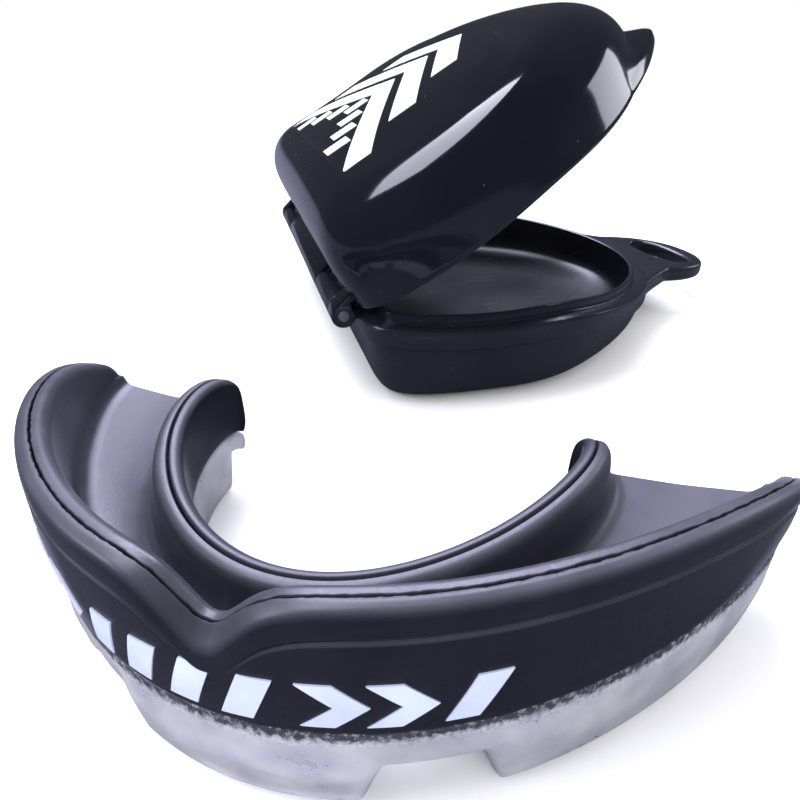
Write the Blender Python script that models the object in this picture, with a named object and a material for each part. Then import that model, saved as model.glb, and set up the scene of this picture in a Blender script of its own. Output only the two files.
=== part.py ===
"""Mouthguard with its hinged storage case. Sizes are in millimetres, built in metres, +Z up.

The case's front (key-ring loop) points to +X and its hinge runs along Y at the back. The lid
stands part open. The mouthguard stands beside the case, towards -Y, on its three pads.
"""

import math

import bmesh
import bpy
from mathutils import Matrix, Vector

MM = 0.001
SHARP_ANGLE = math.radians(38)

# Mouthguard, in its own frame: front centre of the arch at the origin, front to -Y, arms to +Y
ARCH_X1, ARCH_X3 = 37.4, -13.1  # arch centre line: x = X1 t + X3 t^3
ARCH_Y2, ARCH_Y4 = 41.6, -15.0  # and y = Y2 t^2 + Y4 t^4, for t from -1 to 1
LIP_OUT0, LIP_OUT2 = 3.1, 4.9  # lip wall's distance from the centre line: OUT0 + OUT2 t^2
TONGUE_OUT0, TONGUE_OUT2 = -3.1, -4.4  # tongue-side wall's distance, likewise
WALL = 2.3
LIP_TOP, LIP_END_DROP = 17.4, 6.9  # lip wall's rim: TOP - END_DROP t^4
TONGUE_TOP, TONGUE_TOP2, TONGUE_TOP4 = 12.2, 4.4, -5.5
TROUGH_FLOOR = 8.4
SHELL_BOTTOM = 6.0
REBATE_TOP = 8.0  # the frame's lip covers the shell's lower outer corner up to here
LEAN, LEAN_TOP, LEAN_POWER = 1.7, 14.0, 1.3  # the outer face draws in by LEAN below LEAN_TOP
LINER = 1.1
PLY_GAP = 0.08
SEAM_SHIFT = 0.1  # shell and liner meet this far outside each wall's middle
FRAME_BOTTOM = 3.8
PAD_FLARE = 0.35
NOTCH_DEPTH, NOTCH_HALF = 2.8, 3.0
NOTCH_BLEND = 0.6  # rounds the notch's middle
OUTER_NOTCH_DEPTH, OUTER_NOTCH_HALF = 1.55 * NOTCH_DEPTH, 1.1 * NOTCH_HALF
LIP_END_ROUND, TONGUE_END_ROUND = 1.7, 1.8
END_DROP = 1.0
# Pads' limits, measured along the lip wall from the front centre
FRONT_PAD_HALF, SIDE_PAD_FROM, SIDE_PAD_TO = 8.4, 16.6, 42.5
LIP_STEPS = 400  # steps in the table of lengths along the lip wall
EVEN_STATIONS = 19  # even divisions of each arm
MG_POS, MG_YAW = (-43.0, -75.9), math.radians(-33.1)

# Case outline, in plan: "along" runs from the flat back edge to the front, "across" is y
CASE_L = 53.4
BACK_X = -27.0
HINGE_HALF = 34.0
CASE_HALF_WIDTH = 36.6
WIDEST_AT = 0.2  # share of the length
BACK_POWER, FRONT_POWER = 0.8, 2.1  # how the width grows behind the widest place and ends ahead
BULGE, BULGE_AT, BULGE_SPREAD = 1.6, 0.5, 0.17  # on each side, place and spread as shares
OUTLINE_DENSE, OUTLINE_FINE = 900, 1200  # points per stretch as drawn, and in the even outline
OUTLINE_BLUR = 3.2
NORMAL_STEP = 6  # fine points to each side from which a normal is taken
RINGS_AROUND = 76

# Parting line between base and lid: a slope down to the front with a low wave
RIM_BACK_Z, RIM_SLOPE = 11.2, math.radians(3.5)
RIM_WAVE, RIM_WAVE_AT, RIM_WAVE_SPREAD = 1.1, 0.5, 0.17
RIM_GAP = 0.35

# Walls of base and lid
CASE_WALL = 1.8
PULL_SIDE, PULL_BACK, PULL_FRONT = 0.14, 0.02, 0.20  # shares drawn in at full squeeze
BASE_BAND = 2.6  # from the parting line down to the rounded tub
BASE_FLOOR = 1.7
TUB_INSET = 0.9
LIP_INSET = CASE_WALL + 1.3  # inner face of the base's lip
LID_BACK_H, LID_FRONT_H = 13.6, 16.8
LID_SHOULDER = 0.16  # share of the lid's height where the dome starts
LID_OPEN = math.radians(34.0)

# Hinge
AXIS_OUT, BARREL_R, PIN_R = 2.05, 1.55, 0.7
BORE_CLEARANCE = 0.05
PIN_LENGTH = 2 * HINGE_HALF - 7.4
PIN_SEGMENTS = 32
KNUCKLE_GAP = 0.4
BASE_KNUCKLE = (HINGE_HALF - 18.0, HINGE_HALF - 7.4)  # distances from the middle
LID_KNUCKLE_HALF = BASE_KNUCKLE[0] - KNUCKLE_GAP
LID_END_KNUCKLE = (BASE_KNUCKLE[1] + KNUCKLE_GAP, HINGE_HALF - 4.0)

# Key loop, x measured from the rim's foremost point
LOOP_REACH, LOOP_T = 15.0, 2.4
LOOP_HALF, LOOP_FROM = 11.2, 3.2  # half width where the root gives way to the ring, and its x
LOOP_POWER = 2.3
LOOP_DROP = 0.35  # its top, below the parting line
ROOT_X, ROOT_HALF, ROOT_POWER = -8.6, 22.0, 0.85
ROOT_INSET = 1.4
HOLE_X, HOLE_RX, HOLE_RY = 8.6, 3.0, 7.2

# Lid's front flange
FLANGE_REACH, FLANGE_BASE = 3.4, 0.5  # the prongs stand REACH beyond the notch's BASE
FLANGE_NOTCH_HALF, PRONG_END = 8.4, 10.4
FLANGE_FADE, FLANGE_SUNK = 19.0, -0.6  # length of the fade, and where it ends inside the wall

# Slot in the lid
VENT_HALF_LENGTH, VENT_HALF_WIDTH = 8.5, 0.55
VENT_INSET, VENT_BEND = 5.6, 0.012
VENT_LOW, VENT_HIGH = 3, 22  # cutter's ends above the rim's back

MATERIALS = {
    "shell_black": dict(colour=(0.012, 0.012, 0.017), roughness=0.42),
    "liner_black": dict(colour=(0.02, 0.02, 0.028), roughness=0.5),
    "frame_clear": dict(
        colour=(0.78, 0.77, 0.84), roughness=0.3, viewport_alpha=0.6, transmission=0.6
    ),
    "case_black": dict(colour=(0.013, 0.013, 0.018), roughness=0.3),
    "lid_gloss_black": dict(colour=(0.010, 0.010, 0.014), roughness=0.12),
    "pin_black": dict(colour=(0.02, 0.02, 0.025), roughness=0.35),
}


# ------------------------------------------------------------------- helpers


def clear_scene():
    for obj in list(bpy.data.objects):
        bpy.data.objects.remove(obj, do_unlink=True)


def new_collection(name):
    collection = bpy.data.collections.new(name)
    bpy.context.scene.collection.children.link(collection)
    return collection


def material(name, colour, roughness, viewport_alpha=1.0, transmission=0.0):
    made = bpy.data.materials.new(name)
    made.use_nodes = True
    shader = made.node_tree.nodes["Principled BSDF"]
    shader.inputs["Base Color"].default_value = (*colour, 1)
    shader.inputs["Roughness"].default_value = roughness
    shader.inputs["Transmission Weight"].default_value = transmission
    made.diffuse_color = (*colour, viewport_alpha)
    return made


def smooth_by_angle(mesh):
    mesh.shade_smooth()
    mesh.set_sharp_from_angle(angle=SHARP_ANGLE)


def object_from(name, bm, collection, material_name=None):
    bmesh.ops.recalc_face_normals(bm, faces=bm.faces)
    if bm.calc_volume(signed=True) < 0:
        bmesh.ops.reverse_faces(bm, faces=bm.faces)
    mesh = bpy.data.meshes.new(name)
    bm.to_mesh(mesh)
    bm.free()
    obj = bpy.data.objects.new(name, mesh)
    collection.objects.link(obj)
    if material_name:
        mesh.materials.append(material(material_name, **MATERIALS[material_name]))
    smooth_by_angle(mesh)
    return obj


def loft(rings):
    """Closed loft through rings of equal counts, capped at the first and last."""
    bm = bmesh.new()
    made = [[bm.verts.new(Vector(point) * MM) for point in ring] for ring in rings]
    count = len(made[0])
    for low, high in zip(made, made[1:]):
        for i in range(count):
            j = (i + 1) % count
            bm.faces.new((low[i], low[j], high[j], high[i]))
    bm.faces.new(list(reversed(made[0])))
    bm.faces.new(made[-1])
    return bm


def combine(obj, other, operation):
    """Applies a Boolean straight away, so later cuts act on the result, and removes other."""
    modifier = obj.modifiers.new(operation.lower(), "BOOLEAN")
    modifier.operation = operation
    modifier.solver = "EXACT"
    modifier.object = other
    bpy.context.view_layer.update()
    graph = bpy.context.evaluated_depsgraph_get()
    mesh = bpy.data.meshes.new_from_object(obj.evaluated_get(graph))
    obj.modifiers.clear()
    old = obj.data
    obj.data = mesh
    bpy.data.meshes.remove(old)
    bpy.data.objects.remove(other, do_unlink=True)
    smooth_by_angle(mesh)


def step_up(value, low, high):
    """Smooth step from 0 at low to 1 at high."""
    share = min(1.0, max(0.0, (value - low) / (high - low)))
    return share * share * (3 - 2 * share)


def hump(share, at, spread):
    return math.exp(-(((share - at) / spread) ** 2))


# ---------------------------------------------------------------- mouthguard


def arch(t):
    """Centre-line point and outward normal at t."""
    x, y = ARCH_X1 * t + ARCH_X3 * t**3, ARCH_Y2 * t**2 + ARCH_Y4 * t**4
    dx = ARCH_X1 + 3 * ARCH_X3 * t**2
    dy = 2 * ARCH_Y2 * t + 4 * ARCH_Y4 * t**3
    length = math.hypot(dx, dy)
    return (x, y), (dy / length, -dx / length)


def lip_offset(t):
    return LIP_OUT0 + LIP_OUT2 * t * t


def tongue_offset(t):
    return TONGUE_OUT0 + TONGUE_OUT2 * t * t


def lip_length_table():
    """(t, length along the lip wall's outer face from the front centre), for t from 0 to 1."""
    table, last, length = [], None, 0.0
    for k in range(LIP_STEPS + 1):
        t = k / LIP_STEPS
        (x, y), (normal_x, normal_y) = arch(t)
        offset = lip_offset(t) + WALL / 2
        point = (x + offset * normal_x, y + offset * normal_y)
        if last:
            length += math.dist(point, last)
        table.append((t, length))
        last = point
    return table


LIP_TABLE = lip_length_table()
LIP_TOTAL = LIP_TABLE[-1][1]


def lip_length(t):
    k = min(int(abs(t) * LIP_STEPS), LIP_STEPS - 1)
    (t0, length0), (t1, length1) = LIP_TABLE[k], LIP_TABLE[k + 1]
    return length0 + (length1 - length0) * (abs(t) - t0) / (t1 - t0)


def end_drop(t, reach):
    """How far the rims come down at the rounded ends of the arms."""
    left = LIP_TOTAL - lip_length(t)
    if left >= reach:
        return 0.0
    return END_DROP * (1 - math.sqrt(max(0.0, 1 - ((reach - left) / reach) ** 2)))


def notch(t, depth, half):
    """Depth of the notch at the front centre of the lip wall's rim."""
    distance = (math.hypot(lip_length(t), NOTCH_BLEND) - NOTCH_BLEND) / half
    return depth * math.exp(-(distance**1.45) * 1.6)


def rim_notch(t):
    return notch(t, NOTCH_DEPTH, NOTCH_HALF)


def outer_notch(t):
    """The notch as it shows on the outer face, deeper and wider."""
    return notch(t, OUTER_NOTCH_DEPTH, OUTER_NOTCH_HALF)


def lip_top(t):
    return LIP_TOP - LIP_END_DROP * t**4 - end_drop(t, LIP_END_ROUND)


def tongue_top(t):
    return TONGUE_TOP + TONGUE_TOP2 * t**2 + TONGUE_TOP4 * t**4 - end_drop(t, TONGUE_END_ROUND)


def rebate_top(t):
    return min(REBATE_TOP, lip_top(t) - 2.2 - outer_notch(t) * 0.3)


def leaning(t):
    """Outer face's offset as a function of height: full at the rim, drawn in to the feet."""
    face = lip_offset(t) + WALL / 2
    return lambda z: face - LEAN * (1 - min(1.0, z / LEAN_TOP)) ** LEAN_POWER


# The three sections are lists of (distance outwards from the centre line, z).


def shell_section(t):
    top, back = lip_top(t), tongue_top(t)
    dent, outer_dent = rim_notch(t), outer_notch(t)
    lean, face = leaning(t), lip_offset(t) + WALL / 2
    inner = tongue_offset(t) - WALL / 2
    seam, tongue_seam = lip_offset(t) + SEAM_SHIFT, tongue_offset(t) - SEAM_SHIFT
    low = TROUGH_FLOOR - LINER - PLY_GAP
    step = rebate_top(t)
    middle = 0.5 * (step + top)
    return [
        # Rebate and outer face
        (lean(step) - 1.4, SHELL_BOTTOM),
        (lean(step) - 0.95, SHELL_BOTTOM + 0.4),
        (lean(step) - 0.95, step),
        (lean(step), step),
        (lean(step + 0.4), step + 0.4),
        (lean(middle), middle - outer_dent * 0.6),
        # Lip wall's rim
        (face, top - 1.4 - outer_dent),
        (face - 0.25, top - 0.75 - outer_dent),
        (face - 0.62, top - 0.25 - 0.5 * (outer_dent + dent)),
        (seam, top - dent),
        (seam, top - 1.2 - dent),
        # Trough
        (seam, low + 1.5),
        (seam - 0.5, low + 0.45),
        (seam - 1.5, low),
        (tongue_seam + 1.5, low),
        (tongue_seam + 0.5, low + 0.45),
        (tongue_seam, low + 1.3),
        # Tongue-side wall
        (tongue_seam, back - 0.8),
        (tongue_seam, back),
        (inner + 0.55, back - 0.15),
        (inner + 0.15, back - 0.7),
        (inner, back - 1.5),
        (inner - 0.1, SHELL_BOTTOM + 1.8),
        (inner + 0.25, SHELL_BOTTOM + 0.4),
        (inner + 0.9, SHELL_BOTTOM),
    ]


def liner_section(t):
    top, back = lip_top(t) - rim_notch(t), tongue_top(t)
    lip_out = lip_offset(t) + SEAM_SHIFT - PLY_GAP
    lip_in = lip_offset(t) - WALL / 2
    tongue_out = tongue_offset(t) - SEAM_SHIFT + PLY_GAP
    tongue_in = tongue_offset(t) + WALL / 2
    under = TROUGH_FLOOR - LINER
    return [
        # Upper face: down the lip side, across the trough, up the tongue side
        (lip_out, top - 0.02),
        (lip_in + 0.4, top - 0.1),
        (lip_in + 0.05, top - 0.7),
        (lip_in - 0.1, TROUGH_FLOOR + 1.6),
        (lip_in - 0.45, TROUGH_FLOOR + 0.5),
        (lip_in - 1.4, TROUGH_FLOOR),
        (tongue_in + 1.4, TROUGH_FLOOR),
        (tongue_in + 0.45, TROUGH_FLOOR + 0.5),
        (tongue_in + 0.1, TROUGH_FLOOR + 1.4),
        (tongue_in - 0.05, back - 0.7),
        (tongue_in - 0.4, back - 0.1),
        # Face against the shell
        (tongue_out, back - 0.02),
        (tongue_out, under + 1.4),
        (tongue_out + 0.5, under + 0.5),
        (tongue_out + 1.5, under),
        (lip_out - 1.5, under),
        (lip_out - 0.5, under + 0.5),
        (lip_out, under + 1.6),
    ]


def pad_depth(t):
    """0 between the pads and 1 under them, with short rounded ramps."""
    length = lip_length(t)
    front = 1 - step_up(length, FRONT_PAD_HALF - 0.6, FRONT_PAD_HALF + 1.0)
    side = step_up(length, SIDE_PAD_FROM - 1.0, SIDE_PAD_FROM + 0.6)
    side *= 1 - step_up(length, SIDE_PAD_TO - 0.6, SIDE_PAD_TO + 0.9)
    return max(front, side)


def frame_section(t):
    inner, lean = tongue_offset(t) - WALL / 2, leaning(t)
    deep = pad_depth(t)
    foot = FRAME_BOTTOM * (1 - deep)
    flare = PAD_FLARE * deep
    top = SHELL_BOTTOM - PLY_GAP
    lip_high = rebate_top(t) - PLY_GAP
    return [
        # Lip that fills the shell's rebate
        (lean(lip_high) - 1.15, top),
        (lean(lip_high) - 0.8, top + 0.2),
        (lean(lip_high) - 0.8, lip_high),
        (lean(lip_high) - 0.02, lip_high),
        # Outer face, foot and inner face
        (lean(lip_high - 0.6) + 0.05 + flare * 0.3, lip_high - 0.6),
        (lean(5.0) + 0.05 + flare, 5.0),
        (lean(foot + 1.3) + flare, foot + 1.3),
        (lean(foot + 0.4) - 0.35 + flare * 0.6, foot + 0.4),
        (lean(foot) - 1.3, foot),
        (inner + 1.6, foot),
        (inner + 0.8, foot + 0.35),
        (inner + 0.45, foot + 1.1),
        (inner + 0.4, 0.6 * top + 0.4 * foot),
        (inner + 0.55, top - 0.4),
        (inner + 1.1, top),
    ]


def place(t, section):
    """Stands a section upright across the arch at t."""
    (x, y), (normal_x, normal_y) = arch(t)
    return [(x + out * normal_x, y + out * normal_y, z) for out, z in section]


def stations(extra):
    """Values of t from -1 to 1, even along the lip wall, with more at the lengths in extra."""
    lengths = {round(LIP_TOTAL * k / EVEN_STATIONS, 4) for k in range(EVEN_STATIONS + 1)}
    lengths |= {round(length, 4) for length in extra if length < LIP_TOTAL}
    arm = []
    for length in sorted(lengths):
        k = next((i for i, (_, reached) in enumerate(LIP_TABLE) if reached >= length), LIP_STEPS)
        k = max(k, 1)
        (t0, length0), (t1, length1) = LIP_TABLE[k - 1], LIP_TABLE[k]
        arm.append(min(1.0, t0 + (t1 - t0) * (length - length0) / (length1 - length0)))
    return [-t for t in reversed(arm) if t > 0] + arm


def mouthguard(collection):
    near_end = [LIP_TOTAL - left for left in (1.9, 1.4, 0.9, 0.45, 0.15)]
    near_notch = [0.7, 1.4, 2.1, 2.8, 3.6, 4.5]
    near_pads = [FRONT_PAD_HALF + d for d in (-0.6, -0.2, 0.2, 0.6, 1.0)]
    near_pads += [SIDE_PAD_FROM + d for d in (-1.0, -0.6, -0.2, 0.2, 0.6)]
    near_pads += [SIDE_PAD_TO + d for d in (-0.6, -0.2, 0.3, 0.9)]
    position = Matrix.Translation((MG_POS[0] * MM, MG_POS[1] * MM, 0))
    for name, section, extra, material_name in (
        ("mouthguard_outer_shell", shell_section, near_notch, "shell_black"),
        ("mouthguard_gel_liner", liner_section, near_notch, "liner_black"),
        ("mouthguard_bite_frame", frame_section, near_pads, "frame_clear"),
    ):
        rings = [place(t, section(t)) for t in stations(extra + near_end)]
        obj = object_from(name, loft(rings), collection, material_name)
        obj.matrix_world = position @ Matrix.Rotation(MG_YAW, 4, "Z")


# -------------------------------------------------------------- case outline


def drawn_half_width(along):
    share = along / CASE_L
    if share < WIDEST_AT:
        growth = math.sin(math.pi / 2 * share / WIDEST_AT) ** BACK_POWER
        width = HINGE_HALF + (CASE_HALF_WIDTH - HINGE_HALF) * growth
    else:
        ahead = (share - WIDEST_AT) / (1 - WIDEST_AT)
        width = CASE_HALF_WIDTH * math.sqrt(max(0.0, 1 - ahead**FRONT_POWER))
    return width + BULGE * hump(share, BULGE_AT, BULGE_SPREAD) * (1 - share**6)


def smooth_outline():
    """Rim outline as evenly spaced (along, across), corners blurred.

    It runs from the middle of the back edge towards +Y, then forwards and round.
    """
    drawn = [(0.0, HINGE_HALF * k / OUTLINE_DENSE) for k in range(OUTLINE_DENSE)]
    for k in range(OUTLINE_DENSE):
        along = CASE_L * math.sin(math.pi / 2 * k / OUTLINE_DENSE)
        drawn.append((along, drawn_half_width(along)))
    drawn.append((CASE_L, 0.0))
    closed = drawn + [(along, -across) for along, across in reversed(drawn[1:-1])]
    closed.append(closed[0])
    lengths = [0.0]
    for start, end in zip(closed, closed[1:]):
        lengths.append(lengths[-1] + math.dist(start, end))
    total = lengths[-1]

    even, k = [], 0
    for i in range(OUTLINE_FINE):
        length = total * i / OUTLINE_FINE
        while lengths[k + 1] < length:
            k += 1
        share = (length - lengths[k]) / max(lengths[k + 1] - lengths[k], 1e-9)
        start, end = closed[k], closed[k + 1]
        even.append(tuple(p + share * (q - p) for p, q in zip(start, end)))

    reach = int(OUTLINE_BLUR / total * OUTLINE_FINE)
    window = range(-reach, reach + 1)
    for _ in range(2):
        even = [
            tuple(
                sum(even[(i + d) % OUTLINE_FINE][axis] for d in window) / len(window)
                for axis in (0, 1)
            )
            for i in range(OUTLINE_FINE)
        ]
    return even


FINE_OUTLINE = smooth_outline()


def outline(count):
    """Outline at count places, as (along, across, outward normal along, and across)."""
    ring = []
    for i in range(count):
        j = round(i * OUTLINE_FINE / count)
        along0, across0 = FINE_OUTLINE[j - NORMAL_STEP]
        along1, across1 = FINE_OUTLINE[(j + NORMAL_STEP) % OUTLINE_FINE]
        d_along, d_across = along1 - along0, across1 - across0
        length = math.hypot(d_along, d_across)
        ring.append((*FINE_OUTLINE[j], -d_across / length, d_along / length))
    return ring


OUTLINE = outline(RINGS_AROUND)
ALONG_MIN = min(point[0] for point in OUTLINE)
ALONG_MAX = max(point[0] for point in OUTLINE)
FRONT_X = BACK_X + ALONG_MAX
AXIS_X = BACK_X + ALONG_MIN - AXIS_OUT
AXIS_Z = RIM_BACK_Z + RIM_GAP / 2


def rim_line(along):
    """Height of the parting line's plain slope above the case's flat bottom."""
    return RIM_BACK_Z - math.tan(RIM_SLOPE) * along


def rim_z(along):
    """Height of the parting line, wave included."""
    return rim_line(along) + RIM_WAVE * hump(along / CASE_L, RIM_WAVE_AT, RIM_WAVE_SPREAD)


def case_ring(offset, height, squeeze=0.0, back_pull=5.0):
    """One ring of the case.

    offset moves it along the outline's normals, height is a function of the place along the
    case, and squeeze draws it in towards the case's centre.
    """
    ring = []
    for along, across, normal_along, normal_across in OUTLINE:
        share = (along - ALONG_MIN) / (ALONG_MAX - ALONG_MIN)
        pull = squeeze * (PULL_BACK + PULL_FRONT * share * share) * CASE_L
        push = squeeze * back_pull * (1 - share) ** 2
        x = BACK_X + (along + offset * normal_along - pull + push)
        y = (across + offset * normal_across) * (1 - squeeze * PULL_SIDE)
        ring.append((x, y, height(along)))
    return ring


def quarter_profile(steps, inward_power, rise_power):
    """Rounded quarter from upright wall to flat: (share drawn in, share of height)."""
    angles = [math.pi / 2 * k / steps for k in range(1, steps + 1)]
    return [(1 - math.cos(a) ** inward_power, math.sin(a) ** rise_power) for a in angles]


# --------------------------------------------------------------------- hinge


def pin_bore(cutters):
    bm = bmesh.new()
    radius = (PIN_R + BORE_CLEARANCE) * MM
    bmesh.ops.create_cone(
        bm,
        cap_ends=True,
        segments=PIN_SEGMENTS,
        radius1=radius,
        radius2=radius,
        depth=(HINGE_HALF * 2 + 10) * MM,
    )
    position = Matrix.Translation((AXIS_X * MM, 0, AXIS_Z * MM))
    turn = Matrix.Rotation(math.pi / 2, 4, "X")
    bmesh.ops.transform(bm, matrix=position @ turn, verts=bm.verts)
    return object_from("pin_bore", bm, cutters)


def knuckle(low, high, side, cutters):
    """A barrel on the hinge axis from y = low to high, with a neck to the wall.

    The neck is below the parting line for side -1 and above it for +1.
    """
    steps = 20
    angles = [math.pi / 2 + math.pi * k / steps for k in range(steps + 1)]
    barrel = [(BARREL_R * math.cos(angle), BARREL_R * math.sin(angle)) for angle in angles]
    into_wall = AXIS_OUT + CASE_WALL * 0.7
    # (x, z) from the axis, for a neck below
    neck = [
        (into_wall, -BARREL_R - 0.6),
        (into_wall, -0.8),
        (AXIS_OUT - 0.45, -0.8),
        (BARREL_R * 0.93, -0.3),
        (BARREL_R * 0.8, BARREL_R * 0.6),
        (BARREL_R * 0.42, BARREL_R * 0.91),
    ]
    if side > 0:
        neck = [(x, -z) for x, z in reversed(neck)]
    rings = [[(AXIS_X + x, y, AXIS_Z + z) for x, z in barrel + neck] for y in (low, high)]
    return object_from("knuckle", loft(rings), cutters)


def add_knuckle_pair(obj, span, side, cutters):
    """Joins a knuckle to obj at each end; span is its distances from the middle."""
    for end in (-1, 1):
        low, high = sorted(end * distance for distance in span)
        combine(obj, knuckle(low, high, side, cutters), "UNION")


def hinge_pin(collection):
    end = PIN_LENGTH / 2
    # (radius, y)
    profile = [
        (PIN_R * 0.6, -end - 0.25),
        (PIN_R, -end + 0.1),
        (PIN_R, end - 0.1),
        (PIN_R * 0.6, end + 0.25),
    ]
    angles = [2 * math.pi * k / PIN_SEGMENTS for k in range(PIN_SEGMENTS)]
    rings = [
        [(radius * math.cos(angle), y, radius * math.sin(angle)) for angle in angles]
        for radius, y in profile
    ]
    pin = object_from("case_hinge_pin", loft(rings), collection, "pin_black")
    pin.matrix_world = Matrix.Translation((AXIS_X * MM, 0, AXIS_Z * MM))


# ----------------------------------------------------------------- case base

# Band and raised lip, from outside to inside: (offset, height above the parting line)
BASE_RIM = [
    (-TUB_INSET, -BASE_BAND),
    (-0.15, -2.2),
    (0.0, -1.9),
    (0.0, -0.25),
    (-0.25, 0.0),
    (-CASE_WALL - 0.4, 0.0),
    (-CASE_WALL - 0.4, 1.0),
    (-CASE_WALL - 0.65, 1.2),
    (-CASE_WALL - 1.15, 1.2),
    (-LIP_INSET, 0.9),
    (-LIP_INSET, -BASE_BAND),
]


def tub_ring(offset, floor, inward, rise):
    """A ring of the rounded tub. rise runs from the band's foot (0) down to the floor (1)."""

    def height(along):
        return floor + (rim_z(along) - (BASE_BAND + floor)) * (1 - rise)

    return case_ring(offset, height, inward)


def case_base(collection, cutters):
    outside = quarter_profile(7, 2 / 2.6, 2 / 2.6)
    inside = quarter_profile(6, 2 / 2.4, 2 / 2.4)
    rings = [tub_ring(-TUB_INSET - 1.2 * g, 0.0, g, rise) for g, rise in reversed(outside)]
    for offset, above in BASE_RIM:
        rings.append(case_ring(offset, lambda along, above=above: rim_z(along) + above))
    rings += [tub_ring(-LIP_INSET - 0.9 * g, BASE_FLOOR, g, rise) for g, rise in inside]
    base = object_from("case_base", loft(rings), collection, "case_black")
    combine(base, key_loop(cutters), "UNION")
    add_knuckle_pair(base, BASE_KNUCKLE, -1, cutters)
    combine(base, pin_bore(cutters), "DIFFERENCE")


def loop_outline():
    """Key loop's edge: a wide root that narrows to an oval ring."""
    edge = []
    steps = 30
    for k in range(steps + 1):
        x = ROOT_X + (LOOP_REACH - ROOT_X) * math.sin(math.pi / 2 * (k / steps))
        if x < LOOP_FROM:
            share = (x - ROOT_X) / (LOOP_FROM - ROOT_X)
            y = ROOT_HALF - (ROOT_HALF - LOOP_HALF) * share**ROOT_POWER
        else:
            share = (x - LOOP_FROM) / (LOOP_REACH - LOOP_FROM)
            y = LOOP_HALF * max(0.0, 1 - share**LOOP_POWER) ** (1 / LOOP_POWER)
        edge.append((x, y))
    # The root ends inside the wall, on a line that follows the rim
    inside = [
        (along - ALONG_MAX - ROOT_INSET * normal_along, across - ROOT_INSET * normal_across)
        for along, across, normal_along, normal_across in outline(200)
        if along > 0.5 * CASE_L and abs(across) < ROOT_HALF - 1.0
    ]
    mirrored = [(x, -y) for x, y in reversed(edge[:-1])]
    return edge + mirrored + sorted(inside, key=lambda point: point[1])


def superellipse(middle_x, radius_x, radius_y, power, count):
    def stretched(value):
        return math.copysign(abs(value) ** (2 / power), value)

    angles = [2 * math.pi * k / count for k in range(count)]
    return [
        (middle_x + radius_x * stretched(math.cos(a)), radius_y * stretched(math.sin(a)))
        for a in angles
    ]


def key_loop(cutters):
    """Flat plate with an oval hole at the front, laid along the sloping parting line."""
    curve = bpy.data.curves.new("key_loop", "CURVE")
    curve.dimensions = "2D"
    curve.fill_mode = "BOTH"
    curve.extrude = LOOP_T / 2 * MM
    hole = superellipse(HOLE_X, HOLE_RX, HOLE_RY, LOOP_POWER, 32)
    for points in (loop_outline(), hole):
        spline = curve.splines.new("POLY")
        spline.points.add(len(points) - 1)
        for point, (x, y) in zip(spline.points, points):
            point.co = (x * MM, y * MM, 0, 1)
        spline.use_cyclic_u = True
    outlines = bpy.data.objects.new("key_loop_curve", curve)
    cutters.objects.link(outlines)
    bpy.context.view_layer.update()
    graph = bpy.context.evaluated_depsgraph_get()
    mesh = bpy.data.meshes.new_from_object(outlines.evaluated_get(graph))
    bpy.data.objects.remove(outlines, do_unlink=True)

    bm = bmesh.new()
    bm.from_mesh(mesh)
    bmesh.ops.remove_doubles(bm, verts=bm.verts, dist=1e-6)
    top = rim_z(ALONG_MAX) - LOOP_DROP
    position = Matrix.Translation((FRONT_X * MM, 0, top * MM))
    slope = Matrix.Rotation(RIM_SLOPE, 4, "Y")
    sink = Matrix.Translation((0, 0, -LOOP_T / 2 * MM))
    bmesh.ops.transform(bm, matrix=position @ slope @ sink, verts=bm.verts)
    return object_from("key_loop", bm, cutters)


# ------------------------------------------------------------------ case lid

# Edge at the parting line, from outside to inside: (offset, share of the lid's height)
LID_RIM = [
    (0.0, LID_SHOULDER),
    (0.0, 0.03),
    (-0.25, 0.0),
    (-CASE_WALL + 0.15, 0.0),
    (-CASE_WALL, 0.02),
    (-CASE_WALL, LID_SHOULDER),
]


def lid_ring(offset, share, squeeze=0.0):
    """A ring of the closed lid. share runs from the parting line (0) to the top (1)."""

    def height(along):
        foot = rim_z(along) + RIM_GAP
        lid_height = LID_BACK_H + (LID_FRONT_H - LID_BACK_H) * along / CASE_L
        top = rim_line(along) + RIM_GAP + lid_height
        return foot + (top - foot) * share

    return case_ring(offset, height, squeeze, back_pull=6.0)


def case_lid(collection, cutters):
    outside = quarter_profile(9, 0.95, 0.80)
    inside = quarter_profile(7, 0.95, 0.80)
    rings = [
        lid_ring(-1.6 * g, LID_SHOULDER + 0.84 * rise, 1.25 * g) for g, rise in reversed(outside)
    ]
    rings += [lid_ring(offset, share) for offset, share in LID_RIM]
    rings += [
        lid_ring(-CASE_WALL - 1.4 * g, LID_SHOULDER + 0.70 * rise, 1.22 * g)
        for g, rise in inside
    ]
    lid = object_from("case_lid", loft(rings), collection, "lid_gloss_black")
    combine(lid, lid_flange(cutters), "UNION")
    combine(lid, knuckle(-LID_KNUCKLE_HALF, LID_KNUCKLE_HALF, 1, cutters), "UNION")
    add_knuckle_pair(lid, LID_END_KNUCKLE, 1, cutters)
    combine(lid, pin_bore(cutters), "DIFFERENCE")
    combine(lid, vent_cutter(cutters), "DIFFERENCE")
    # The origin is put on the hinge axis and the lid turns about it
    shift = Matrix.Translation((AXIS_X * MM, 0, AXIS_Z * MM))
    lid.data.transform(shift.inverted())
    lid.matrix_world = shift @ Matrix.Rotation(-LID_OPEN, 4, "Y")


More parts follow.
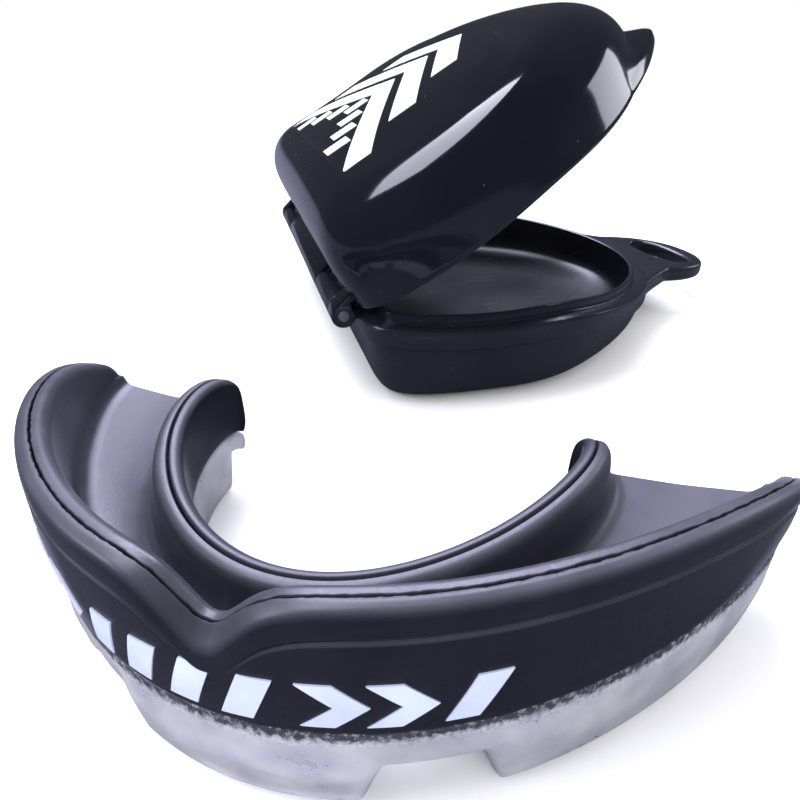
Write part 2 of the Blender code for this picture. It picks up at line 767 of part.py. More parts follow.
def flange_reach(across):
    """How far the flange stands out: a concave notch, a prong, then a fade into the side."""
    distance = abs(across)
    if distance < FLANGE_NOTCH_HALF:
        return FLANGE_BASE + FLANGE_REACH * (distance / FLANGE_NOTCH_HALF) ** 2.2
    if distance < PRONG_END:
        return FLANGE_BASE + FLANGE_REACH
    fade = min(1.0, (distance - PRONG_END) / FLANGE_FADE)
    return FLANGE_SUNK + (FLANGE_BASE - FLANGE_SUNK + FLANGE_REACH) * (1 - fade) ** 1.6


def lid_flange(cutters):
    """Front flange with two prongs and a concave notch between, along the parting line."""
    rings = []
    for along, across, normal_along, normal_across in outline(260):
        if along < 0.5 * CASE_L:
            continue
        out, foot = flange_reach(across), rim_z(along) + RIM_GAP
        # (distance out from the rim, height above the lid's edge)
        section = [
            (-1.0, 0.3), (out - 0.15, 0.3), (out, 0.5),
            (out, 1.55), (out - 0.2, 1.75), (-1.0, 1.75),
        ]
        rings.append([
            (BACK_X + along + offset * normal_along, across + offset * normal_across, foot + above)
            for offset, above in section
        ])
    return object_from("lid_flange", loft(rings), cutters)


def vent_cutter(cutters):
    """Thin slot curved with the lid's front shoulder."""
    low, high = RIM_BACK_Z + VENT_LOW, RIM_BACK_Z + VENT_HIGH
    steps = 12
    rings = []
    for k in range(steps + 1):
        y = -VENT_HALF_LENGTH + 2 * VENT_HALF_LENGTH * k / steps
        x = FRONT_X - VENT_INSET - VENT_BEND * y * y
        back, front = x - VENT_HALF_WIDTH, x + VENT_HALF_WIDTH
        rings.append([(back, y, low), (front, y, low), (front, y, high), (back, y, high)])
    return object_from("vent_cutter", loft(rings), cutters)


def main():
    clear_scene()
    collection = new_collection("mouthguard_with_case")
    cutters = new_collection("cutters")
    mouthguard(collection)
    case_base(collection, cutters)
    case_lid(collection, cutters)
    hinge_pin(collection)
    bpy.context.view_layer.update()


main()
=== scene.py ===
"""Mouthguard beside its open hinged case: fine meshes and procedural materials round the frame.

Metres, +Z up, both resting on z = 0. The case runs along X: hinge at -X, key loop at the front, +X.
The mouthguard's own frame has its front at -Y; it is then turned and moved to GUARD_PLACE.
Dimensions and mesh functions are in mm; meshes are scaled to metres as their vertices are made.
"""

import math

import bmesh
import bpy
from mathutils import Matrix, Vector, noise


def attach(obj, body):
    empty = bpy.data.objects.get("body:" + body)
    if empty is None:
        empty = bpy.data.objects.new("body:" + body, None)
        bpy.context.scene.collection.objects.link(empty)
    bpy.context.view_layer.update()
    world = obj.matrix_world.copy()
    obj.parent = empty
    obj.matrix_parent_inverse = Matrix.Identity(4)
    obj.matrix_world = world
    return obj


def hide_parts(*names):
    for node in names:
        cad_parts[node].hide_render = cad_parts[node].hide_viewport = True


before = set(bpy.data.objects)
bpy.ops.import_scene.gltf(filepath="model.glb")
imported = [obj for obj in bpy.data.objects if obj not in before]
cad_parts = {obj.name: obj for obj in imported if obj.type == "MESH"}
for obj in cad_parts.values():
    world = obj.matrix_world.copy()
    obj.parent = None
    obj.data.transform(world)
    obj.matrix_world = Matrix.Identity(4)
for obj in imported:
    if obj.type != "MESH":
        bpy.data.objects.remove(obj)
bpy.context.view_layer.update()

MM = 0.001
QUARTER_TURN = math.pi / 2
SHARP_ANGLE = 32  # degrees

# ------------------------------------------------------------------ mouthguard dimensions

# Arch midline: x = X1 t + X3 t^3, y = Y2 t^2 + Y4 t^4, for the station t from -1 to 1
ARCH_X1, ARCH_X3 = 37.4, -13.1
ARCH_Y2, ARCH_Y4 = 41.6, -15.0
# Middles of the lip and tongue walls, outwards from the midline: at the front, and growth with t^2
LIP_OUT0, LIP_OUT2 = 3.1, 4.9
TONGUE_OUT0, TONGUE_OUT2 = -3.1, -4.4
HALF_WALL = 2.3 / 2
LIP_TOP, LIP_END_DROP = 17.4, 6.9
TONGUE_TOP, TONGUE_TOP2, TONGUE_TOP4 = 12.2, 4.4, -5.5
TROUGH_FLOOR, SHELL_BOTTOM, REBATE_TOP = 8.4, 6.0, 8.0
LEAN, LEAN_TOP = 1.7, 14.0  # inward lean of the lip wall's foot, and the height where it ends
LINER = 1.1
LINER_BOTTOM = TROUGH_FLOOR - LINER
FRAME_BOTTOM = 3.8
JOINT_GAP = 0.08  # between shell, liner and frame
NOTCH_DEPTH, NOTCH_HALF = 2.8, 3.0
FRONT_PAD_HALF, SIDE_PAD_FROM, SIDE_PAD_TO = 8.4, 16.6, 42.5
GUARD_PLACE = Matrix.Translation((-43.0 * MM, -75.9 * MM, 0)) @ Matrix.Rotation(
    math.radians(-33.1), 4, "Z"
)
CORNER_STEPS = 5
END_STEPS = 5
LIP_TABLE_STEPS = 3000

# Marks along the lip face: shape, and the lengths along the face where each one starts
MARKS = (
    ("bar", (-35.8, -32.4, -29.0, -25.6, -22.2)),
    ("chevron", (-17.8, -14.2)),
    ("bar", (-9.8, -6.4, -3.0, 0.4)),
    ("chevron", (4.9, 8.5)),
    ("bar", (12.7,)),
)
MARK_LOW, MARK_HIGH, MARK_WIDTH = 8.75, 12.45, 1.9
BAR_SLANT, CHEVRON_REACH = 1.5, 1.9

# ------------------------------------------------------------------ case dimensions

CASE_L, HINGE_HALF, CASE_HALF_WIDTH, WIDEST_AT = 53.4, 34.0, 36.6, 0.2
SIDE_BULGE, BULGE_AT, BULGE_W = 1.6, 0.5, 0.17
BACK_X = -27.0
RIM_BACK_Z, RIM_SLOPE = 11.2, math.radians(3.5)
RIM_WAVE, RIM_WAVE_AT, RIM_WAVE_W = 1.1, 0.5, 0.17
CASE_WALL, RIM_GAP = 1.8, 0.35
OUTLINE_POINTS, OUTLINE_FINE, OUTLINE_DENSE, OUTLINE_BLUR = 360, 2400, 900, 3.2

# Base: shell rings from the tub up to the rim, as (offset from the outline, height from the rim)
TUB_OFFSET, TUB_ROUND = -0.9, 1.2
BASE_OUTSIDE = (
    (-0.9, -2.9), (-0.88, -2.62), (-0.62, -2.44), (-0.22, -2.36), (-0.06, -2.26), (0.0, -2.08),
    (0.0, -1.2), (0.0, -0.42), (-0.06, -0.2), (-0.18, -0.06), (-0.38, 0.0),
)
# Base: the raised lip inside the rim, as (offset from the wall's inner face, height from the rim)
BASE_LIP = (
    (-0.3, 0.0), (-0.4, 0.08), (-0.42, 0.95), (-0.5, 1.12), (-0.68, 1.2),
    (-1.05, 1.2), (-1.22, 1.1), (-1.3, 0.88), (-1.3, -2.2),
)
BASE_INNER = -CASE_WALL - 1.3
BASE_FLOOR = 1.7

# Lid: heights are above the lid's own edge
LID_BACK_H, LID_FRONT_H = 13.6, 14.2
LID_OPEN = math.radians(34.0)
LID_CROWN, LID_SQUEEZE, LID_ROUND = 1.5, 1.2, 1.6
LID_SIDE = 0.16  # share of the lid's height where its rounding starts
LID_TOP_SHARES = (0.12, 0.24, 0.36, 0.48, 0.6, 0.7, 0.8, 0.88, 0.95)
# Lid edge with the front flange, as (offset from the outline, height)
LID_EDGE = (
    (0.0, 2.2), (0.0, 1.9), (0.0, 1.6), (0.0, 1.35), (0.0, 1.1), (0.0, 0.55),
    (-0.05, 0.28), (-0.18, 0.08), (-0.36, 0.0),
)
LID_UNDERSIDE = ((-0.9, 0.0), (-CASE_WALL + 0.15, 0.0), (-CASE_WALL, 0.15))
FLANGE_START, FLANGE_REACH, FLANGE_DIP, FLANGE_TAIL = 0.5, 3.4, 0.36, 0.6
FLANGE_FULL, FLANGE_DIPPED = 8.4, 10.4  # distances from the middle where the curve changes
SLOT_HALF_L, SLOT_HALF_W, SLOT_INSET = 8.5, 0.5, 5.6

# Hinge
AXIS_OUT, BARREL_R, PIN_R = 2.05, 1.55, 0.7
KNUCKLE_ROUND = 0.22
BASE_KNUCKLE = (HINGE_HALF - 18.0, HINGE_HALF - 7.4)
LID_MIDDLE_KNUCKLE = HINGE_HALF - 18.4
LID_OUTER_KNUCKLE = (HINGE_HALF - 7.0, HINGE_HALF - 4.0)
BORE_L, PIN_L = HINGE_HALF * 2 + 10, HINGE_HALF * 2 - 7.4
# Pin ends as (radius, distance from the end)
PIN_END = ((0.25, 0.0), (0.42, 0.0), (0.52, 0.05), (0.62, 0.14), (0.68, 0.26), (PIN_R, 0.4))

# Key loop, in a frame whose x starts at the case's front
LOOP_REACH, LOOP_T, LOOP_ROUND = 15.0, 2.4, 0.7
ROOT_X, ROOT_HALF = -8.6, 22.0
LOOP_NECK_X, LOOP_NECK_HALF, LOOP_POWER = 3.2, 11.2, 2.3
HOLE_X, HOLE_HALF_X, HOLE_HALF_Y = 8.6, 3.0, 7.2

# Lid emblem: chevrons as (front tip, half width), then a row of bars
EMBLEM_CHEVRONS = ((8.0, 13.5), (2.2, 19.5), (-3.6, 25.5))
EMBLEM_SLOPE, EMBLEM_THICK, EMBLEM_PITCH = 0.45, 4.0, 0.9
EMBLEM_BARS, EMBLEM_BAR_STEP = 7, 4.9


# ------------------------------------------------------------------ mesh helpers


def step_up(value, low, high):
    share = min(1.0, max(0.0, (value - low) / (high - low)))
    return share * share * (3 - 2 * share)


def between(start, end, share):
    return tuple(a + (b - a) * share for a, b in zip(start, end))


def link(obj):
    bpy.context.scene.collection.objects.link(obj)
    return obj


def finish_mesh(name, build, sharp=SHARP_ANGLE):
    """Turns a bmesh into a smooth object with its faces outwards; sharp is in degrees."""
    bmesh.ops.recalc_face_normals(build, faces=build.faces)
    if build.calc_volume(signed=True) < 0:
        bmesh.ops.reverse_faces(build, faces=build.faces)
    mesh = bpy.data.meshes.new(name)
    build.to_mesh(mesh)
    build.free()
    mesh.shade_smooth()
    mesh.set_sharp_from_angle(angle=math.radians(sharp))
    return link(bpy.data.objects.new(name, mesh))


def loft(rings, attributes=None):
    """Capped loft through rings of equal counts. attributes: a name to one value per point."""
    build = bmesh.new()
    attributes = attributes or {}
    layers = {key: build.verts.layers.float.new(key) for key in attributes}
    made = []
    for r, ring in enumerate(rings):
        row = []
        for i, point in enumerate(ring):
            vertex = build.verts.new(Vector(point) * MM)
            for key, layer in layers.items():
                vertex[layer] = attributes[key][r][i]
            row.append(vertex)
        made.append(row)
    for low, high in zip(made, made[1:]):
        for i in range(len(low)):
            j = (i + 1) % len(low)
            build.faces.new((low[i], low[j], high[j], high[i]))
    build.faces.new(list(reversed(made[0])))
    build.faces.new(made[-1])
    return build


def skin(build, surface, low, high, across, along, lifts):
    """Adds a thin closed skin between two edges, each given by its end points.

    surface(u, v, lift) places a point; lifts are those of the skin's front and back.
    """

    def rim(sheet):
        far = list(reversed(sheet[-1][:-1]))
        return sheet[0] + [r[-1] for r in sheet[1:]] + far + [r[0] for r in reversed(sheet[1:-1])]

    sheets = []
    for lift in lifts:
        sheet = []
        for r in range(along + 1):
            row = []
            for c in range(across + 1):
                ends = (between(*low, c / across), between(*high, c / across))
                place = surface(*between(*ends, r / along), lift)
                row.append(build.verts.new(Vector(place) * MM))
            sheet.append(row)
        sheets.append(sheet)
    for sheet, flip in zip(sheets, (False, True)):
        for near, far in zip(sheet, sheet[1:]):
            for i in range(across):
                face = (near[i], near[i + 1], far[i + 1], far[i])
                build.faces.new(tuple(reversed(face)) if flip else face)
    front, back = (rim(sheet) for sheet in sheets)
    for i in range(len(front)):
        j = (i + 1) % len(front)
        build.faces.new((front[j], front[i], back[i], back[j]))


def rounded(corners):
    """Closed outline from (x, y, cut) corners, each made a quadratic arc starting cut away."""
    points = []
    for i, (x, y, cut) in enumerate(corners):
        ends = []
        for other in (corners[i - 1][:2], corners[(i + 1) % len(corners)][:2]):
            length = math.dist((x, y), other)
            ends.append(between((x, y), other, min(cut, 0.49 * length) / max(length, 1e-9)))
        for k in range(CORNER_STEPS + 1):
            share = k / CORNER_STEPS
            first, middle, last = (1 - share) ** 2, 2 * share * (1 - share), share**2
            points.append(
                tuple(
                    first * start + middle * corner + last * end
                    for start, corner, end in zip(ends[0], (x, y), ends[1])
                )
            )
    return points


def inset_2d(points, amount):
    """Moves a closed outline inwards along its normals."""
    area = sum(
        points[i - 1][0] * points[i][1] - points[i][0] * points[i - 1][1]
        for i in range(len(points))
    )
    sign = 1.0 if area > 0 else -1.0
    moved = []
    for i, (x, y) in enumerate(points):
        before, after = points[i - 1], points[(i + 1) % len(points)]
        run_x, run_y = after[0] - before[0], after[1] - before[1]
        length = math.hypot(run_x, run_y) or 1.0
        moved.append((x - sign * run_y / length * amount, y + sign * run_x / length * amount))
    return moved


def running_lengths(points):
    lengths = [0.0]
    for start, end in zip(points, points[1:]):
        lengths.append(lengths[-1] + math.dist(start, end))
    return lengths


def resample(points, count):
    """Evenly spaced points round a closed outline."""
    closed = points + points[:1]
    lengths = running_lengths(closed)
    even, k = [], 0
    for i in range(count):
        target = lengths[-1] * i / count
        while lengths[k + 1] < target:
            k += 1
        share = (target - lengths[k]) / max(lengths[k + 1] - lengths[k], 1e-9)
        even.append(between(closed[k], closed[k + 1], share))
    return even


def evaluated_mesh(obj):
    bpy.context.view_layer.update()
    graph = bpy.context.evaluated_depsgraph_get()
    return bpy.data.meshes.new_from_object(obj.evaluated_get(graph))


def boolean(obj, other, operation):
    """Applies a boolean to obj and removes the other object."""
    modifier = obj.modifiers.new(operation.lower(), "BOOLEAN")
    modifier.operation = operation
    modifier.solver = "EXACT"
    modifier.object = other
    mesh = evaluated_mesh(obj)
    obj.modifiers.clear()
    old = obj.data
    obj.data = mesh
    bpy.data.meshes.remove(old)
    bpy.data.objects.remove(other, do_unlink=True)
    mesh.shade_smooth()
    mesh.set_sharp_from_angle(angle=math.radians(SHARP_ANGLE))


# ------------------------------------------------------------------ mouthguard curves


def arch(station):
    """Point on the midline and its outward normal."""
    x = ARCH_X1 * station + ARCH_X3 * station**3
    y = ARCH_Y2 * station**2 + ARCH_Y4 * station**4
    run_x = ARCH_X1 + 3 * ARCH_X3 * station**2
    run_y = 2 * ARCH_Y2 * station + 4 * ARCH_Y4 * station**3
    length = math.hypot(run_x, run_y)
    return (x, y), (run_y / length, -run_x / length)


def off_arch(station, out):
    (x, y), (normal_x, normal_y) = arch(station)
    return (x + out * normal_x, y + out * normal_y)


def lip_offset(station):
    return LIP_OUT0 + LIP_OUT2 * station * station


def tongue_offset(station):
    return TONGUE_OUT0 + TONGUE_OUT2 * station * station


LIP_TABLE = running_lengths(
    [
        off_arch(k / LIP_TABLE_STEPS, lip_offset(k / LIP_TABLE_STEPS) + HALF_WALL)
        for k in range(LIP_TABLE_STEPS + 1)
    ]
)
HALF_LENGTH = LIP_TABLE[-1]


def lip_length(station):
    """Length along the lip wall's outer face from the middle, without a sign."""
    place = abs(station) * LIP_TABLE_STEPS
    k = min(int(place), LIP_TABLE_STEPS - 1)
    return LIP_TABLE[k] + (LIP_TABLE[k + 1] - LIP_TABLE[k]) * (place - k)


def signed_length(station):
    return math.copysign(lip_length(station), station)


def station_at(length):
    """Station at a signed length along the lip wall's face, by bisection."""
    low, high = 0.0, 1.0
    for _ in range(40):
        middle = (low + high) / 2
        if lip_length(middle) < abs(length):
            low = middle
        else:
            high = middle
    return math.copysign(low, length)


def end_drop(station, reach):
    """Rounds the top of a wall down over its last reach."""
    left = HALF_LENGTH - lip_length(station)
    if left >= reach:
        return 0.0
    return 1 - math.sqrt(max(0.0, 1 - ((reach - left) / reach) ** 2))


def notch(station, half=NOTCH_HALF):
    """1 at the front's middle, fading to 0."""
    away = (math.hypot(lip_length(station), 0.6) - 0.6) / half
    return math.exp(-(away**1.45) * 1.6)


def lip_top(station):
    return LIP_TOP - LIP_END_DROP * station**4 - end_drop(station, reach=1.7)


def tongue_top(station):
    curve = TONGUE_TOP + TONGUE_TOP2 * station**2 + TONGUE_TOP4 * station**4
    return curve - end_drop(station, reach=1.8)


def leaning(station):
    """Offset of the lip wall's leaning outer face, as a function of height."""
    face = lip_offset(station) + HALF_WALL
    return lambda z: face - LEAN * (1 - min(1.0, z / LEAN_TOP)) ** 1.3


def rebate_top(station):
    dip = 0.47 * NOTCH_DEPTH * notch(station, NOTCH_HALF * 1.1)
    return min(REBATE_TOP, lip_top(station) - 2.2 - dip)


def dent_depth(station):
    return NOTCH_DEPTH * notch(station)


def outer_dent_depth(station):
    return 1.55 * NOTCH_DEPTH * notch(station, NOTCH_HALF * 1.1)


def groove_height(station):
    return lip_top(station) - 1.95 - outer_dent_depth(station) * 0.9


def waver(station, row, coarse, fine):
    """Small unevenness of a seam; coarse and fine are (scale, seed) pairs."""
    length = signed_length(station)
    return sum(
        size * noise.noise(Vector((length / scale, row / scale, seed)))
        for size, (scale, seed) in ((0.07, coarse), (0.05, fine))
    )


# ------------------------------------------------------------------ mouthguard sections
# Each section is a closed list of corners: (offset outwards from the midline, height, corner cut)


def shell_section(station):
    lip, tongue = lip_offset(station), tongue_offset(station)
    top, back = lip_top(station), tongue_top(station)
    dent, outer = dent_depth(station), outer_dent_depth(station)
    face, lean = lip + HALF_WALL, leaning(station)
    floor = LINER_BOTTOM - JOINT_GAP
    inner, rebate = tongue - HALF_WALL, rebate_top(station)
    seam = lip + 0.12 + waver(station, 0, coarse=(0.9, 3.1), fine=(0.28, 7.7))
    tongue_seam = tongue - 0.1
    groove = groove_height(station)
    end_fade = step_up(HALF_LENGTH - lip_length(station), 0.8, 3.0)
    cut = 0.16 * (1 - notch(station, 5.0)) * end_fade
    middle = 0.5 * (rebate + groove)
    return [
        # rebate under the lip wall
        (lean(rebate) - 1.4, SHELL_BOTTOM, 0.2),
        (lean(rebate) - 0.95, SHELL_BOTTOM + 0.4, 0.2),
        (lean(rebate) - 0.95, rebate - 0.05, 0.02),
        (lean(rebate) - 0.02, rebate - 0.05, 0.12),
        # outer face with its groove
        (lean(rebate + 0.6) + 0.05, rebate + 0.6, 0.5),
        (lean(middle) + 0.12, middle, 2.2),
        (lean(groove) + 0.03, groove - 0.24, 0.10),
        (lean(groove) - cut, groove, 0.05),
        (lean(groove) + 0.03, groove + 0.24, 0.10),
        # lip top, dented at the notch
        (face + 0.02, top - 1.0 - outer, 0.3),
        (face - 0.10, top - 0.16 - 0.72 * outer - 0.28 * dent, 0.42),
        (face - 0.62, top + 0.04 - 0.4 * outer - 0.6 * dent, 0.35),
        # trough that holds the liner
        (seam + 0.05, top - 0.01 - dent, 0.06),
        (seam, top - 0.18 - dent, 0.05),
        (seam, floor + 1.5, 0.4),
        (seam - 0.5, floor + 0.45, 0.4),
        (seam - 1.5, floor, 0.4),
        (tongue_seam + 1.5, floor, 0.4),
        (tongue_seam + 0.5, floor + 0.45, 0.4),
        (tongue_seam, floor + 1.3, 0.4),
        # tongue wall
        (tongue_seam, back - 0.25, 0.1),
        (tongue_seam - 0.14, back + 0.02, 0.1),
        (inner + 0.5, back, 0.34),
        (inner + 0.02, back - 0.42, 0.42),
        (inner - 0.08, 0.5 * (back + SHELL_BOTTOM), 1.6),
        (inner - 0.02, SHELL_BOTTOM + 1.2, 0.6),
        (inner + 0.3, SHELL_BOTTOM + 0.1, 0.4),
        (inner + 0.9, SHELL_BOTTOM, 0.2),
    ]


def liner_section(station):
    lip, tongue = lip_offset(station), tongue_offset(station)
    top, back = lip_top(station) - dent_depth(station), tongue_top(station)
    lip_out = lip + 0.02 + waver(station, 4, coarse=(0.8, 1.3), fine=(0.3, 9.2))
    lip_in = lip - HALF_WALL
    tongue_out, tongue_in = tongue - 0.02, tongue + HALF_WALL
    return [
        # lip side, from its top down into the trough
        (lip_out, top - 0.18, 0.05),
        (lip_out - 0.05, top, 0.06),
        (lip_in + 0.45, top - 0.02, 0.34),
        (lip_in, top - 0.62, 0.5),
        (lip_in - 0.16, 0.5 * (lip_top(station) + TROUGH_FLOOR), 1.8),
        (lip_in - 0.25, TROUGH_FLOOR + 1.3, 0.9),
        (lip_in - 0.85, TROUGH_FLOOR + 0.12, 0.9),
        (0.5 * (lip_in + tongue_in), TROUGH_FLOOR - 0.08, 1.5),
        # tongue side, up to its top
        (tongue_in + 0.85, TROUGH_FLOOR + 0.12, 0.9),
        (tongue_in + 0.22, TROUGH_FLOOR + 1.2, 0.9),
        (tongue_in, back - 0.62, 0.5),
        (tongue_in - 0.42, back - 0.02, 0.34),
        (tongue_out + 0.10, back, 0.1),
        (tongue_out, back - 0.26, 0.06),
        # underside
        (tongue_out, LINER_BOTTOM + 1.4, 0.4),
        (tongue_out + 0.5, LINER_BOTTOM + 0.5, 0.4),
        (tongue_out + 1.5, LINER_BOTTOM, 0.4),
        (lip_out - 1.5, LINER_BOTTOM, 0.4),
        (lip_out - 0.5, LINER_BOTTOM + 0.5, 0.4),
        (lip_out, LINER_BOTTOM + 1.6, 0.4),
    ]


def pad_depth(station):
    """1 where the frame reaches down as a pad, 0 between the front and side pads."""
    length = lip_length(station)
    front = 1 - step_up(length, FRONT_PAD_HALF - 0.7, FRONT_PAD_HALF + 1.1)
    side = step_up(length, SIDE_PAD_FROM - 1.1, SIDE_PAD_FROM + 0.7)
    side *= 1 - step_up(length, SIDE_PAD_TO - 0.7, SIDE_PAD_TO + 1.0)
    return max(front, side)


def frame_section(station):
    inner, lean = tongue_offset(station) - HALF_WALL, leaning(station)
    deep = pad_depth(station)
    foot = FRAME_BOTTOM * (1 - deep)
    top = SHELL_BOTTOM - JOINT_GAP
    out = 0.35 * deep
    lip_high = rebate_top(station) - JOINT_GAP
    return [
        # tongue of the frame in the shell's rebate
        (lean(lip_high) - 1.15, top, 0.1),
        (lean(lip_high) - 0.8, top + 0.2, 0.1),
        (lean(lip_high) - 0.8, lip_high, 0.02),
        (lean(lip_high), lip_high, 0.10),
        # outer face
        (lean(lip_high - 0.8) + 0.06 + out * 0.3, lip_high - 0.8, 0.5),
        (lean(4.6) + 0.06 + out, 4.6, 0.8),
        (lean(foot + 1.2) + out + 0.02, foot + 1.1, 0.7),
        # foot
        (lean(foot) - 0.25 + out * 0.7, foot + 0.12, 0.62),
        (lean(foot) - 1.5, foot, 0.5),
        (inner + 1.6, foot, 0.4),
        (inner + 0.55, foot + 0.1, 0.5),
        # inner face
        (inner + 0.40, foot + 1.2, 0.6),
        (inner + 0.42, 0.6 * top + 0.4 * foot, 0.8),
        (inner + 0.5, top - 0.3, 0.3),
        (inner + 1.1, top, 0.3),
    ]


def guard_piece(name, section, pitch, end_round=0.09):
    """Lofts a section along the whole arch, with the end faces' edges rounded off."""
    rings, lengths, heights = [], [], []

    def add(station, inset=0.0, shift=0.0):
        normal_x, normal_y = arch(station)[1]
        points = rounded(section(station))
        if inset:
            points = inset_2d(points, inset)
        ring = []
        for out, z in points:
            x, y = off_arch(station, out)
            ring.append((x - shift * normal_y, y + shift * normal_x, z))
        rings.append(ring)
        lengths.append([signed_length(station)] * len(points))
        heights.append([z for _, z in points])

    def add_rounding(end, step):
        angle = QUARTER_TURN * step / END_STEPS
        add(end, end_round * (1 - math.cos(angle)), end * end_round * math.sin(angle))

    for k in range(END_STEPS, 0, -1):
        add_rounding(-1.0, k)
    count = int(round(HALF_LENGTH * 2 / pitch))
    for i in range(count + 1):
        length = (HALF_LENGTH - 1e-6) * (2 * i / count - 1)
        add(station_at(length) if 0 < i < count else math.copysign(1.0, length))
    for k in range(1, END_STEPS + 1):
        add_rounding(1.0, k)
    obj = finish_mesh(name, loft(rings, {"arc": lengths, "high": heights}))
    obj.data.transform(GUARD_PLACE)
    return obj


def guard_face(length, z, lift):
    """Point lifted off the shell's outer face, in the mouthguard's own frame."""
    station = station_at(length)
    rebate, groove = rebate_top(station), groove_height(station)
    middle = 0.5 * (rebate + groove)
    bulge = 0.10 * (1 - min(1.0, abs(z - middle) / (0.5 * (groove - rebate))) ** 2)
    return (*off_arch(station, leaning(station)(z) + bulge + lift), z)


def print_marks():
    """Slanted bars and chevrons printed along the lip face: thin closed skins that follow it."""
    build = bmesh.new()

    def bar(start, end, low, high):
        skin(
            build,
            guard_face,
            ((start, low), (start + MARK_WIDTH, low)),
            ((end, high), (end + MARK_WIDTH, high)),
            across=5,
            along=7,
            lifts=(0.075, -0.12),
        )

    middle = 0.5 * (MARK_LOW + MARK_HIGH)
    for shape, starts in MARKS:
        for start in starts:
            if shape == "bar":
                bar(start, start + BAR_SLANT, MARK_LOW, MARK_HIGH)
            else:
                bar(start, start + CHEVRON_REACH, MARK_LOW, middle)
                bar(start + CHEVRON_REACH, start, middle, MARK_HIGH)
    marks = finish_mesh("mouthguard_print_bars", build, sharp=25)
    marks.data.transform(GUARD_PLACE)
    return marks


# ------------------------------------------------------------------ case outline and rings
# "ahead" is the distance forwards (+X) from BACK_X


def raw_half_width(ahead):
    share = ahead / CASE_L
    if share < WIDEST_AT:
        swell = math.sin(QUARTER_TURN * share / WIDEST_AT) ** 0.8
        width = HINGE_HALF + (CASE_HALF_WIDTH - HINGE_HALF) * swell
    else:
        past = (share - WIDEST_AT) / (1 - WIDEST_AT)
        width = CASE_HALF_WIDTH * math.sqrt(max(0.0, 1 - past**2.1))
    bulge = math.exp(-(((share - BULGE_AT) / BULGE_W) ** 2))
    return width + SIDE_BULGE * bulge * (1 - share**6)


def outline():
    """Blurred case outline as (ahead, y, normal x, normal y)."""
    half = [(0.0, HINGE_HALF * k / OUTLINE_DENSE) for k in range(OUTLINE_DENSE)]
    for k in range(OUTLINE_DENSE):
        ahead = CASE_L * math.sin(QUARTER_TURN * k / OUTLINE_DENSE)
        half.append((ahead, raw_half_width(ahead)))
    half.append((CASE_L, 0.0))
    raw = half + [(ahead, -y) for ahead, y in reversed(half[1:-1])]
    even = resample(raw, OUTLINE_FINE)
    reach = int(OUTLINE_BLUR / running_lengths(raw + raw[:1])[-1] * OUTLINE_FINE)
    window = 2 * reach + 1
    for _ in range(2):
        blurred = []
        for c in (0, 1):
            sums = [0.0]
            for i in range(-reach, OUTLINE_FINE + reach + 1):
                sums.append(sums[-1] + even[i % OUTLINE_FINE][c])
            blurred.append([(sums[i + window] - sums[i]) / window for i in range(OUTLINE_FINE)])
        even = list(zip(*blurred))
    ring = []
    for i in range(OUTLINE_POINTS):
        j = round(i * OUTLINE_FINE / OUTLINE_POINTS)
        before, after = even[(j - 10) % OUTLINE_FINE], even[(j + 10) % OUTLINE_FINE]
        run_x, run_y = after[0] - before[0], after[1] - before[1]
        length = math.hypot(run_x, run_y)
        ring.append((*even[j], -run_y / length, run_x / length))
    return ring


OUTLINE = outline()
OUTLINE_BACK = min(point[0] for point in OUTLINE)
OUTLINE_FRONT = max(point[0] for point in OUTLINE)
AXIS_X, AXIS_Z = BACK_X + OUTLINE_BACK - AXIS_OUT, RIM_BACK_Z + RIM_GAP / 2


def rim_z(ahead):
    wave = RIM_WAVE * math.exp(-(((ahead / CASE_L - RIM_WAVE_AT) / RIM_WAVE_W) ** 2))
    return RIM_BACK_Z - math.tan(RIM_SLOPE) * ahead + wave


def case_ring(offset, height, squeeze=0.0, back_pull=5.0, flare=None, narrow=0.14):
    """Outline moved outwards by offset; squeeze draws in the front, back (back_pull) and sides."""
    ring = []
    for ahead, y, normal_x, normal_y in OUTLINE:
        share = (ahead - OUTLINE_BACK) / (OUTLINE_FRONT - OUTLINE_BACK)
        out = offset + (flare(ahead, y) if flare else 0.0)
        pull = squeeze * (0.02 + 0.20 * share * share) * CASE_L
        moved = ahead + out * normal_x - pull + squeeze * back_pull * (1 - share) ** 2
        side = (y + out * normal_y) * (1 - squeeze * narrow)
        ring.append((BACK_X + moved, side, height(ahead)))
    return ring


def rim_ring(offset, rise):
    return case_ring(offset, lambda ahead: rim_z(ahead) + rise)


def quarter(steps, side_power, rise_power):
    """Quarter of a superellipse from its side to its end, as (inward share, upward share)."""
    shares = []
    for k in range(1, steps + 1):
        angle = QUARTER_TURN * k / steps
        inward = 1 - max(0.0, math.cos(angle)) ** side_power
        shares.append((inward, math.sin(angle) ** rise_power))
    return shares


def middle_x(ring):
    return sum(point[0] for point in ring) / len(ring)


def shrink(ring, share, lift=0.0):
    centre = middle_x(ring)
    return [(centre + (x - centre) * share, y * share, z + lift) for x, y, z in ring]


# ------------------------------------------------------------------ hinge


def hinge_circle(radius, y, count):
    ring = []
    for k in range(count):
        angle = 2 * math.pi * k / count
        ring.append((AXIS_X + radius * math.cos(angle), y, AXIS_Z + radius * math.sin(angle)))
    return ring


def barrel_bore():
    rings = [hinge_circle(PIN_R + 0.06, y, 40) for y in (-BORE_L / 2, BORE_L / 2)]
    return finish_mesh("bore", loft(rings))


